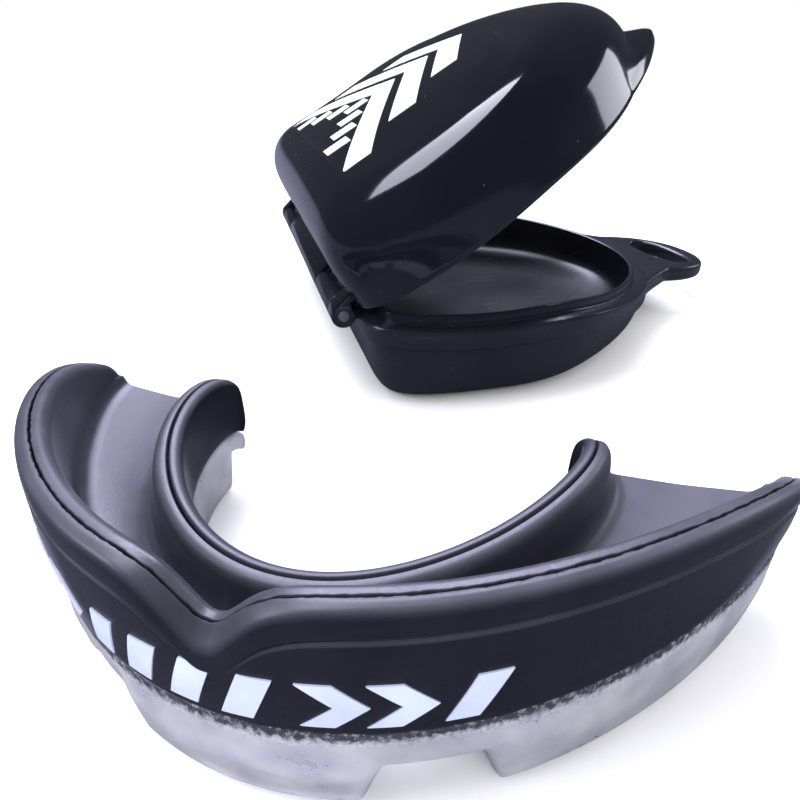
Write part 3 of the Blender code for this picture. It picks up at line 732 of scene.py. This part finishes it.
def knuckle(low, high, side):
    """Barrel from y = low to high, end edges rounded, its neck going down (-1) or up (1)."""
    points = []
    for k in range(29):
        angle = QUARTER_TURN + math.pi * k / 28
        points.append((AXIS_X + BARREL_R * math.cos(angle), AXIS_Z + BARREL_R * math.sin(angle)))
    into = AXIS_OUT + CASE_WALL * 0.7
    # neck to the wall below, as (x, z) from the axis
    neck = [
        (into, -BARREL_R - 0.6),
        (into, -0.8),
        (AXIS_OUT - 0.45, -0.8),
        (BARREL_R * 0.93, -0.3),
        (BARREL_R * 0.8, BARREL_R * 0.6),
        (BARREL_R * 0.42, BARREL_R * 0.91),
    ]
    if side > 0:
        neck.reverse()
    points += [(AXIS_X + x, AXIS_Z - side * z) for x, z in neck]
    arc = []
    for k in range(5):
        angle = QUARTER_TURN * k / 4
        inset, gap = 1 - math.cos(angle), 1 - math.sin(angle)
        arc.append((KNUCKLE_ROUND * inset, KNUCKLE_ROUND * gap))
    ends = [(inset, low + gap) for inset, gap in reversed(arc)]
    ends += [(inset, high - gap) for inset, gap in arc]
    rings = [[(x, y, z) for x, z in inset_2d(points, inset)] for inset, y in ends]
    return finish_mesh("knuckle", loft(rings))


def add_knuckle_pair(obj, near, far, side):
    for low, high in ((-far, -near), (near, far)):
        boolean(obj, knuckle(low, high, side), "UNION")


def pin():
    ends = [(radius, gap - PIN_L / 2) for radius, gap in PIN_END]
    ends += [(radius, -y) for radius, y in reversed(ends)]
    return finish_mesh("case_pin_rod", loft([hinge_circle(r, y, 48) for r, y in ends]))


# ------------------------------------------------------------------ case base


def loop_outline():
    """The loop's edge, closed inside the case's front wall."""
    half, steps = [], 50
    for k in range(steps + 1):
        x = ROOT_X + (LOOP_REACH - ROOT_X) * math.sin(QUARTER_TURN * k / steps)
        if x < LOOP_NECK_X:
            share = (x - ROOT_X) / (LOOP_NECK_X - ROOT_X)
            y = ROOT_HALF - (ROOT_HALF - LOOP_NECK_HALF) * (share**0.85)
        else:
            share = (x - LOOP_NECK_X) / (LOOP_REACH - LOOP_NECK_X)
            y = LOOP_NECK_HALF * max(0.0, 1 - share**LOOP_POWER) ** (1 / LOOP_POWER)
        half.append((x, y))
    inside = [
        (ahead - OUTLINE_FRONT - normal_x, y - normal_y)
        for ahead, y, normal_x, normal_y in OUTLINE
        if ahead > 0.5 * CASE_L and abs(y) < ROOT_HALF - 1.0
    ]
    mirrored = [(x, -y) for x, y in reversed(half[:-1])]
    return resample(half + mirrored + sorted(inside, key=lambda point: point[1]), 220)


def loop_hole(count=90):
    """Superellipse hole."""

    def bend(value):
        return math.copysign(abs(value) ** (2 / LOOP_POWER), value)

    angles = [2 * math.pi * k / count for k in range(count)]
    return [
        (HOLE_X + HOLE_HALF_X * bend(math.cos(angle)), HOLE_HALF_Y * bend(math.sin(angle)))
        for angle in angles
    ]


def key_loop():
    """Ring plate with rounded edges outside and round the hole, along the sloping parting line."""
    curve = bpy.data.curves.new("loop", "CURVE")
    curve.dimensions = "2D"
    curve.fill_mode = "BOTH"
    curve.extrude = (LOOP_T / 2 - LOOP_ROUND) * MM
    curve.bevel_depth = LOOP_ROUND * MM
    curve.bevel_resolution = 3
    curve.offset = -LOOP_ROUND * MM
    for points in (loop_outline(), loop_hole()):
        spline = curve.splines.new("POLY")
        spline.points.add(len(points) - 1)
        for point, (x, y) in zip(spline.points, points):
            point.co = (x * MM, y * MM, 0, 1)
        spline.use_cyclic_u = True
    plate = link(bpy.data.objects.new("loop_curve", curve))
    mesh = evaluated_mesh(plate)
    bpy.data.objects.remove(plate, do_unlink=True)
    build = bmesh.new()
    build.from_mesh(mesh)
    bmesh.ops.remove_doubles(build, verts=build.verts, dist=2e-6)
    root = ((BACK_X + OUTLINE_FRONT) * MM, 0, (rim_z(OUTLINE_FRONT) - 0.35) * MM)
    place = Matrix.Translation(root) @ Matrix.Rotation(RIM_SLOPE, 4, "Y")
    place = place @ Matrix.Translation((0, 0, -LOOP_T / 2 * MM))
    bmesh.ops.transform(build, matrix=place, verts=build.verts)
    return finish_mesh("loop", build, sharp=50)


def case_base():
    # foot: raised middle, then the tub's rounded wall, from the bottom up
    bottom = case_ring(TUB_OFFSET - TUB_ROUND, lambda ahead: 0.0, 1.0)
    rings = [shrink(bottom, 0.6, 0.35), shrink(bottom, 0.93, 0.35), shrink(bottom, 0.95)]
    for inward, fall in reversed(quarter(16, 2 / 2.6, 2 / 2.6)):
        offset = TUB_OFFSET - TUB_ROUND * inward
        rings.append(case_ring(offset, lambda a: (rim_z(a) - 2.6) * (1 - fall), inward))
    rings += [rim_ring(offset, rise) for offset, rise in BASE_OUTSIDE]
    rings += [rim_ring(-CASE_WALL + offset, rise) for offset, rise in BASE_LIP]
    # inside, down to the floor
    for inward, fall in quarter(14, 2 / 2.4, 2 / 2.4):

        def height(ahead):
            return BASE_FLOOR + (rim_z(ahead) - 4.3) * (1 - fall)

        rings.append(case_ring(BASE_INNER - 0.9 * inward, height, inward))
    last = rings[-1]
    rings += [shrink(last, 0.82), shrink(last, 0.5)]
    base = finish_mesh("case_tub", loft(rings))
    boolean(base, key_loop(), "UNION")
    add_knuckle_pair(base, *BASE_KNUCKLE, side=-1)
    boolean(base, barrel_bore(), "DIFFERENCE")
    return base


# ------------------------------------------------------------------ case lid


def crown(x, y):
    """How far the domed top lies below its middle."""
    side = abs(y) / 30.0
    front = max(0.0, x + 2.0) / 24.0
    back = max(0.0, -16.0 - x) / 10.0
    return LID_CROWN * (0.35 * side**2 + 0.65 * side**4) + 1.9 * front**2.2 + 0.5 * back**2


def lid_top_z(ahead):
    foot = RIM_BACK_Z - math.tan(RIM_SLOPE) * ahead + RIM_GAP
    return foot + LID_BACK_H + (LID_FRONT_H - LID_BACK_H) * ahead / CASE_L


def lid_surface(x, y, lift=0.0):
    return (x, y, lid_top_z(x - BACK_X) - crown(x, y) + lift)


def flange_reach(y):
    """How far the front flange stands out, by distance from the middle."""
    side = abs(y)
    if side < FLANGE_FULL:
        return FLANGE_START + FLANGE_REACH * (side / FLANGE_FULL) ** 2.2
    if side < FLANGE_DIPPED:
        dip = FLANGE_DIP * ((side - FLANGE_FULL) / (FLANGE_DIPPED - FLANGE_FULL)) ** 2
        return FLANGE_START + FLANGE_REACH - dip
    fade = min(1.0, (side - FLANGE_DIPPED) / 19.0)
    whole = FLANGE_START + FLANGE_TAIL + FLANGE_REACH - FLANGE_DIP
    return -FLANGE_TAIL + whole * (1 - fade) ** 1.6


def lid_flare(height):
    """How the edge flares out to the front flange at a height above the parting line."""
    fade = 1.0 if height < 1.25 else math.exp(-(((height - 1.25) / 1.5) ** 2))

    def flare(ahead, y):
        return step_up(ahead / CASE_L, 0.5, 0.66) * max(0.0, flange_reach(y)) * fade

    return flare


def lid_ring(offset, share=0.0, squeeze=0.0, rise=0.0, flare=None):
    """Ring at a share of the lid's height, plus a rise."""

    def height(ahead):
        foot = rim_z(ahead) + RIM_GAP
        return foot + rise + (lid_top_z(ahead) - foot) * share

    ring = case_ring(offset, height, squeeze, back_pull=6.0, flare=flare, narrow=0.10)
    return [(x, y, z - share * crown(x, y)) for x, y, z in ring]


def lid_slot():
    """Cutter for the curved slot through the lid's top near the front."""
    rings = []
    low, high = RIM_BACK_Z + 3, RIM_BACK_Z + 22
    for k in range(41):
        y = -SLOT_HALF_L + 2 * SLOT_HALF_L * k / 40
        x = BACK_X + OUTLINE_FRONT - SLOT_INSET - 0.012 * y * y
        half = SLOT_HALF_W * math.sqrt(max(0.02, 1 - (y / (SLOT_HALF_L + 0.02)) ** 12))
        corners = ((-half, low), (half, low), (half, high), (-half, high))
        rings.append([(x + out, y, z) for out, z in corners])
    return finish_mesh("slot", loft(rings))


def open_pose(obj):
    """Turns a lid piece open about the hinge axis."""
    shift = Matrix.Translation((AXIS_X * MM, 0, AXIS_Z * MM))
    obj.data.transform(shift @ Matrix.Rotation(-LID_OPEN, 4, "Y") @ shift.inverted())
    return obj


def case_lid():
    # domed top, from its middle outwards
    top = lid_ring(-LID_ROUND, 1.0, LID_SQUEEZE)
    centre = middle_x(top)
    rings = []
    for share in LID_TOP_SHARES:
        rings.append([lid_surface(centre + (x - centre) * share, y * share) for x, y, _ in top])
    # rounded outside, from the top down
    for inward, rise in reversed(quarter(26, 0.80, 0.72)):
        share = LID_SIDE + (1 - LID_SIDE) * rise
        flare = lid_flare(14.0 * share)
        rings.append(lid_ring(-LID_ROUND * inward, share, LID_SQUEEZE * inward, flare=flare))
    for offset, rise in LID_EDGE:
        rings.append(lid_ring(offset, rise=rise, flare=lid_flare(rise)))
    rings += [lid_ring(offset, rise=rise) for offset, rise in LID_UNDERSIDE]
    # inside, up to the ceiling
    rings.append(lid_ring(-CASE_WALL, LID_SIDE))
    for inward, rise in quarter(16, 0.95, 0.80):
        squeeze = (LID_SQUEEZE - 0.03) * inward
        rings.append(lid_ring(-CASE_WALL - 1.4 * inward, LID_SIDE + 0.70 * rise, squeeze))
    last = rings[-1]
    rings += [shrink(last, 0.85), shrink(last, 0.5)]
    lid = finish_mesh("case_dome", loft(rings))
    boolean(lid, knuckle(-LID_MIDDLE_KNUCKLE, LID_MIDDLE_KNUCKLE, 1), "UNION")
    add_knuckle_pair(lid, *LID_OUTER_KNUCKLE, side=1)
    boolean(lid, barrel_bore(), "DIFFERENCE")
    boolean(lid, lid_slot(), "DIFFERENCE")
    return open_pose(lid)


def emblem():
    """Nested chevrons and a row of slanted bars printed on the lid's top.

    Its points are (across, ahead): across runs to -Y, ahead to +X.
    """
    build = bmesh.new()

    def surface(across, ahead, lift):
        return lid_surface(ahead, -across, lift)

    def patch(low, high):
        """Skin cut finely enough to follow the dome."""
        across = max(2, int(math.dist(*low) / EMBLEM_PITCH))
        along = max(2, int(math.dist(low[0], high[0]) / EMBLEM_PITCH))
        skin(build, surface, low, high, across, along, lifts=(0.05, -0.15))

    for tip, half in EMBLEM_CHEVRONS:
        foot = tip - EMBLEM_SLOPE * half
        for start, end in (((-half, foot), (0, tip)), ((0, tip), (half, foot))):
            low = [(x, y - EMBLEM_THICK) for x, y in (start, end)]
            patch(low, [start, end])
    for k in range(EMBLEM_BARS):
        left = -16.5 + EMBLEM_BAR_STEP * k
        high = -8.8 - EMBLEM_SLOPE * abs(left + 1.8)
        low = high - 3.6
        patch([(left, low), (left + 3.2, low)], [(left + 0.4, high), (left + 3.6, high)])
    return open_pose(finish_mesh("lid_emblem_print", build, sharp=20))


# ------------------------------------------------------------------ materials


class Look:
    """A Principled material, with short ways to add nodes to it."""

    def __init__(self, name):
        self.material = bpy.data.materials.new(name)
        self.material.use_nodes = True
        self.tree = self.material.node_tree
        self.coords = self.new("ShaderNodeTexCoord").outputs["Object"]

    def put(self, node, key, value):
        socket = node.inputs[key]
        if isinstance(value, bpy.types.NodeSocket):
            self.tree.links.new(value, socket)
        else:
            socket.default_value = (*value, 1) if socket.type == "RGBA" else value

    def fill(self, node, inputs):
        for key, value in inputs.items():
            self.put(node, key.replace("_", " "), value)

    def new(self, kind, **inputs):
        node = self.tree.nodes.new(kind)
        self.fill(node, inputs)
        return node

    def finish(self, **inputs):
        """Sets the shader's inputs."""
        self.fill(self.tree.nodes["Principled BSDF"], inputs)
        return self.material

    def noise(self, scale, detail, roughness=0.55, vector=None):
        vector = vector or self.coords
        return self.new(
            "ShaderNodeTexNoise", Scale=scale, Detail=detail, Roughness=roughness, Vector=vector
        ).outputs["Fac"]

    def remap(self, value, over, to=(0.0, 1.0)):
        return self.new(
            "ShaderNodeMapRange",
            Value=value,
            From_Min=over[0],
            From_Max=over[1],
            To_Min=to[0],
            To_Max=to[1],
        ).outputs["Result"]

    def math(self, operation, first, second):
        node = self.new("ShaderNodeMath")
        node.operation = operation
        self.put(node, 0, first)
        self.put(node, 1, second)
        return node.outputs["Value"]

    def multiply(self, value, by):
        return self.math("MULTIPLY", value, by)

    def add(self, value, more):
        return self.math("ADD", value, more)

    def mix(self, factor, base, top):
        node = self.new("ShaderNodeMix")
        node.data_type = "RGBA"
        # 6, 7 and output 2 are the node's colour sockets
        for socket, value in ((0, factor), (6, base), (7, top)):
            self.put(node, socket, value)
        return node.outputs[2]

    def bump(self, height, strength, distance, normal=None):
        node = self.new("ShaderNodeBump", Strength=strength, Distance=distance, Height=height)
        if normal is not None:
            self.put(node, "Normal", normal)
        return node.outputs["Normal"]

    def edges(self, over):
        """1 on convex edges and 0 elsewhere."""
        pointiness = self.new("ShaderNodeNewGeometry").outputs["Pointiness"]
        return self.remap(pointiness, over=over)


def rubber(name, dark, light, rough, grain, bump_depth, specular=0.5, wear=0.25, painted_sheen=0.0):
    """Satin elastomer: fine grain, cloudy tone, worn edges, painted highlight on up-facing surfaces
    and painted sheen at grazing angles.
    """
    look = Look(name)
    fine = look.noise(scale=grain, detail=3.0, roughness=0.6)
    cloud = look.noise(scale=180.0, detail=3.0, roughness=0.5)
    tone = look.mix(look.remap(cloud, over=(0.35, 0.68)), base=dark, top=light)
    patches = look.noise(scale=900.0, detail=3.0, roughness=0.6)
    patches = look.remap(patches, over=(0.35, 0.65), to=(0.2, 1.0))
    worn = look.multiply(look.edges(over=(0.515, 0.60)), by=patches)
    tone = look.mix(look.multiply(worn, by=wear), base=tone, top=(0.20, 0.20, 0.27))
    # Painted highlight: up-facing surfaces are lightened towards lavender grey, as if lit from
    # above
    normal = look.new("ShaderNodeNewGeometry").outputs["Normal"]
    upward = look.new("ShaderNodeSeparateXYZ", Vector=normal).outputs["Z"]
    upward = look.multiply(
        look.remap(upward, over=(0.15, 1.0), to=(0.0, painted_sheen)),
        by=look.remap(cloud, over=(0.3, 0.7), to=(0.75, 1.0)),
    )
    tone = look.mix(upward, base=tone, top=(0.30, 0.29, 0.38))
    # Painted sheen: surfaces seen edge-on are lightened towards pale lavender
    facing = look.new("ShaderNodeLayerWeight", Blend=0.5).outputs["Facing"]
    grazing = look.multiply(look.remap(facing, over=(0.84, 1.0)), by=painted_sheen * 1.8)
    tone = look.mix(grazing, base=tone, top=(0.42, 0.41, 0.52))
    uneven = look.add(
        look.remap(cloud, over=(0.3, 0.7), to=(rough - 0.05, rough + 0.06)),
        look.remap(fine, over=(0.3, 0.7), to=(-0.04, 0.05)),
    )
    normal = look.bump(fine, strength=0.55, distance=bump_depth)
    flow = look.noise(scale=420.0, detail=2.0, roughness=0.5)
    normal = look.bump(flow, strength=0.25, distance=bump_depth * 2.2, normal=normal)
    return look.finish(
        Base_Color=tone,
        Roughness=uneven,
        Normal=normal,
        Specular_IOR_Level=specular,
        Specular_Tint=(0.86, 0.86, 1.0),
    )


def gloss(name, dark, light, rough, coat, specular, peel):
    """Hard plastic: orange peel, cloudy tone, hairline scratches and a few dust specks."""
    look = Look(name)
    cloud = look.noise(scale=60.0, detail=3.0, roughness=0.5)
    tone = look.mix(look.remap(cloud, over=(0.35, 0.7)), base=dark, top=light)
    stretched = look.new(
        "ShaderNodeMapping",
        Scale=(60.0, 2600.0, 2600.0),
        Rotation=(0.3, 0.2, 0.6),
        Vector=look.coords,
    ).outputs["Vector"]
    hair = look.noise(scale=1.0, detail=2.0, roughness=0.5, vector=stretched)
    scratch = look.remap(hair, over=(0.70, 0.76))
    speck = look.new("ShaderNodeTexVoronoi", Scale=420.0, Vector=look.coords)
    dust = look.multiply(
        look.remap(speck.outputs["Distance"], over=(0.05, 0.035)),
        by=look.remap(look.noise(scale=150.0, detail=2.0), over=(0.52, 0.6)),
    )
    tone = look.mix(look.multiply(dust, by=0.22), base=tone, top=(0.5, 0.5, 0.56))
    worn = look.multiply(look.edges(over=(0.53, 0.62)), by=0.10)
    tone = look.mix(worn, base=tone, top=(0.22, 0.22, 0.28))
    uneven = look.remap(cloud, over=(0.3, 0.7), to=(rough - 0.02, rough + 0.03))
    uneven = look.add(uneven, look.multiply(scratch, by=0.12))
    uneven = look.add(uneven, look.multiply(dust, by=0.4))
    ripple = look.noise(scale=700.0, detail=2.0, roughness=0.5)
    return look.finish(
        Base_Color=tone,
        Roughness=uneven,
        Normal=look.bump(ripple, strength=0.35, distance=peel),
        Specular_IOR_Level=specular,
        Coat_Weight=coat,
        Coat_Roughness=0.03,
        Specular_Tint=(0.88, 0.88, 1.0),
    )


def frosted(name):
    """Frosted clear elastomer, darkening in speckles towards the black shell above."""
    look = Look(name)
    attribute = look.new("ShaderNodeAttribute")
    attribute.attribute_name = "high"
    speckle = look.noise(scale=2600.0, detail=3.0, roughness=0.7)
    haze = look.noise(scale=330.0, detail=4.0)
    milk = look.remap(haze, over=(0.32, 0.68))
    tone = look.mix(milk, base=(0.60, 0.585, 0.70), top=(0.86, 0.85, 0.94))
    edge = look.add(
        look.remap(attribute.outputs["Fac"], over=(6.0, 7.55)),
        look.remap(speckle, over=(0.25, 0.75), to=(-0.24, 0.24)),
    )
    dark = look.remap(edge, over=(0.52, 1.0))
    tone = look.mix(dark, base=tone, top=(0.03, 0.03, 0.045))
    frost = look.noise(scale=1500.0, detail=4.0, roughness=0.65)
    normal = look.bump(frost, strength=0.6, distance=0.00004)
    return look.finish(
        Base_Color=tone,
        Roughness=look.remap(haze, over=(0.3, 0.7), to=(0.26, 0.42)),
        Normal=look.bump(haze, strength=0.35, distance=0.00012, normal=normal),
        Transmission_Weight=look.remap(dark, over=(0.0, 1.0), to=(0.62, 0.0)),
        Subsurface_Weight=0.35,
        Subsurface_Scale=0.0015,
        Subsurface_Radius=(1.0, 1.0, 1.1),
        Specular_IOR_Level=0.5,
        IOR=1.42,
    )


def ink(name, colour, grain, missing):
    """Printed ink: a little uneven, thin in specks where the grain passes missing."""
    look = Look(name)
    fine = look.noise(scale=grain, detail=4.0, roughness=0.7)
    cloud = look.noise(scale=260.0, detail=3.0, roughness=0.5)
    pale = tuple(min(1.0, channel * 1.06) for channel in colour)
    deep = tuple(channel * 0.86 for channel in colour)
    tone = look.mix(look.remap(cloud, over=(0.3, 0.7)), base=deep, top=pale)
    holes = look.remap(fine, over=(missing, missing + 0.03), to=(0.0, 0.6))
    return look.finish(
        Base_Color=look.mix(holes, base=tone, top=(0.1, 0.1, 0.13)),
        Roughness=look.remap(fine, over=(0.3, 0.7), to=(0.34, 0.5)),
        Normal=look.bump(fine, strength=0.4, distance=0.00001),
        Specular_IOR_Level=0.4,
    )


def floor_material():
    """Pale floor that looks dark in reflections."""
    look = Look("floor_pale")
    cloud = look.remap(look.noise(scale=14.0, detail=3.0), over=(0.3, 0.7))
    tone = look.mix(cloud, base=(0.90, 0.90, 0.91), top=(0.93, 0.93, 0.94))
    mirrored = look.new("ShaderNodeLightPath").outputs["Is Glossy Ray"]
    tone = look.mix(mirrored, base=tone, top=(0.10, 0.10, 0.13))
    return look.finish(Base_Color=tone, Roughness=0.9, Specular_IOR_Level=0.0)


shell_look = rubber(
    "shell_satin_black", dark=(0.0035, 0.0035, 0.008), light=(0.007, 0.007, 0.014),
    rough=0.38, grain=5200.0, bump_depth=0.000014, specular=0.50, wear=0.10, painted_sheen=0.20,
)
liner_look = rubber(
    "liner_matte_black", dark=(0.018, 0.0175, 0.026), light=(0.030, 0.029, 0.042),
    rough=0.36, grain=4200.0, bump_depth=0.000018, specular=0.60, wear=0.08, painted_sheen=0.14,
)
base_look = gloss(
    "case_satin_black", dark=(0.008, 0.008, 0.013), light=(0.013, 0.013, 0.021),
    rough=0.24, coat=0.0, specular=0.42, peel=0.000008,
)
lid_look = gloss(
    "lid_polished_black", dark=(0.004, 0.004, 0.007), light=(0.007, 0.007, 0.012),
    rough=0.09, coat=0.35, specular=0.5, peel=0.000006,
)
pin_look = rubber(
    "pin_dark_metal", dark=(0.05, 0.05, 0.06), light=(0.09, 0.09, 0.10),
    rough=0.35, grain=3000.0, bump_depth=0.00001,
)
frame_look = frosted("frame_frosted_clear")
bars_look = ink("guard_print_pale", colour=(0.44, 0.49, 0.67), grain=3400.0, missing=0.70)
emblem_look = ink("lid_print_white", colour=(0.93, 0.93, 0.93), grain=2600.0, missing=0.74)

# ------------------------------------------------------------------ pieces


def fit(obj, look, part, node=None):
    """Gives a piece its material and its place in the frame."""
    obj.data.materials.clear()
    obj.data.materials.append(look)
    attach(obj, part)
    if node:
        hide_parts(node)
    return obj


shell = guard_piece("mouthguard_shell_skin", shell_section, pitch=0.24)
fit(shell, shell_look, "mouthguard", "mouthguard_outer_shell")
liner = guard_piece("mouthguard_liner_skin", liner_section, pitch=0.24)
fit(liner, liner_look, "mouthguard", "mouthguard_gel_liner")
bite = guard_piece("mouthguard_frame_skin", frame_section, pitch=0.30, end_round=0.4)
fit(bite, frame_look, "mouthguard", "mouthguard_bite_frame")
marks = fit(print_marks(), bars_look, "mouthguard")
tub = fit(case_base(), base_look, "base", "case_base")
fit(case_lid(), lid_look, "lid", "case_lid")
fit(emblem(), emblem_look, "lid")
fit(pin(), pin_look, "base", "case_hinge_pin")

# ------------------------------------------------------------------ floor and world

grid = bmesh.new()
bmesh.ops.create_grid(grid, x_segments=8, y_segments=8, size=6.0)
floor = finish_mesh("floor", grid)
floor.data.materials.append(floor_material())

scene = bpy.context.scene
world = bpy.data.worlds.new("studio")
scene.world = world
world.use_nodes = True
tree = world.node_tree
tree.nodes.clear()


def backdrop(colour, strength):
    node = tree.nodes.new("ShaderNodeBackground")
    node.inputs["Color"].default_value = (*colour, 1)
    node.inputs["Strength"].default_value = strength
    return node.outputs["Background"]


def blend_by(factor, first, second):
    node = tree.nodes.new("ShaderNodeMixShader")
    for i, socket in enumerate((factor, first, second)):
        tree.links.new(socket, node.inputs[i])
    return node.outputs["Shader"]


# White to the camera, dim in reflections, soft light for the rest
rays = tree.nodes.new("ShaderNodeLightPath").outputs
ambient = backdrop(colour=(0.985, 0.985, 1.0), strength=1.12)
reflected = backdrop(colour=(0.55, 0.56, 0.75), strength=0.10)
soft = blend_by(rays["Is Glossy Ray"], ambient, reflected)
seen = blend_by(rays["Is Camera Ray"], soft, backdrop(colour=(1, 1, 1), strength=1.0))
tree.links.new(seen, tree.nodes.new("ShaderNodeOutputWorld").inputs["Surface"])

# ------------------------------------------------------------------ lights (metres, watts)


def softbox(name, where, aim, size, power, colour=(1, 1, 1)):
    data = bpy.data.lights.new(name, "AREA")
    data.shape = "RECTANGLE"
    data.size, data.size_y = size
    data.energy = power
    data.color = colour
    obj = link(bpy.data.objects.new(name, data))
    obj.location = Vector(where)
    obj.rotation_mode = "QUATERNION"
    obj.rotation_quaternion = (Vector(aim) - Vector(where)).to_track_quat("-Z", "Y")
    obj.visible_camera = False
    return obj


softbox(
    "overhead_strip", where=(-0.14, 0.06, 0.46), aim=(-0.02, -0.02, 0.03),
    size=(0.52, 0.18), power=2.4, colour=(0.90, 0.90, 1.0),
)
sheen = softbox(
    "sheen", where=(0.16, 0.74, 0.72), aim=(-0.03, -0.06, 0.01),
    size=(0.80, 0.30), power=11.0, colour=(0.80, 0.80, 1.0),
)
softbox(
    "right", where=(0.46, 0.10, 0.20), aim=(0.0, 0.0, 0.02),
    size=(0.18, 0.18), power=0.30, colour=(0.90, 0.90, 1.0),
)
left = softbox(
    "left", where=(-0.46, -0.06, 0.24), aim=(-0.04, -0.06, 0.01),
    size=(0.24, 0.24), power=1.2, colour=(0.90, 0.91, 1.0),
)
front_fill = softbox(
    "front_fill", where=(-0.05, -0.50, 0.30), aim=(-0.03, -0.06, 0.01),
    size=(0.40, 0.24), power=0.7,
)
front_fill.visible_glossy = False

# Keeps two of the lights off the lid, its emblem and the hinge pin
receivers = bpy.data.collections.new("sheen_receivers")
for obj in (shell, liner, bite, marks, floor, tub):
    receivers.objects.link(obj)
for light in (sheen, left):
    light.light_linking.receiver_collection = receivers

# ------------------------------------------------------------------ camera

CAMERA_PLACE = (-0.041404, -0.104287, 0.040047)
AZIMUTH, ELEVATION = math.radians(-14.6), math.radians(28.15)

camera = bpy.data.cameras.new("camera")
camera.sensor_width = 36.0
camera.lens = 29.61
camera.clip_start, camera.clip_end = 0.001, 50.0
eye = link(bpy.data.objects.new("camera", camera))
level = math.cos(ELEVATION)
backwards = Vector((math.sin(AZIMUTH) * level, -math.cos(AZIMUTH) * level, math.sin(ELEVATION)))
rightwards = Vector((math.cos(AZIMUTH), math.sin(AZIMUTH), 0.0))
axes = Matrix((rightwards, backwards.cross(rightwards), backwards))
eye.matrix_world = Matrix.Translation(CAMERA_PLACE) @ axes.transposed().to_4x4()
scene.camera = eye

scene.view_settings.view_transform = "Standard"
scene.view_settings.look = "None"
scene.view_settings.exposure = 0.0
scene.view_settings.gamma = 1.0
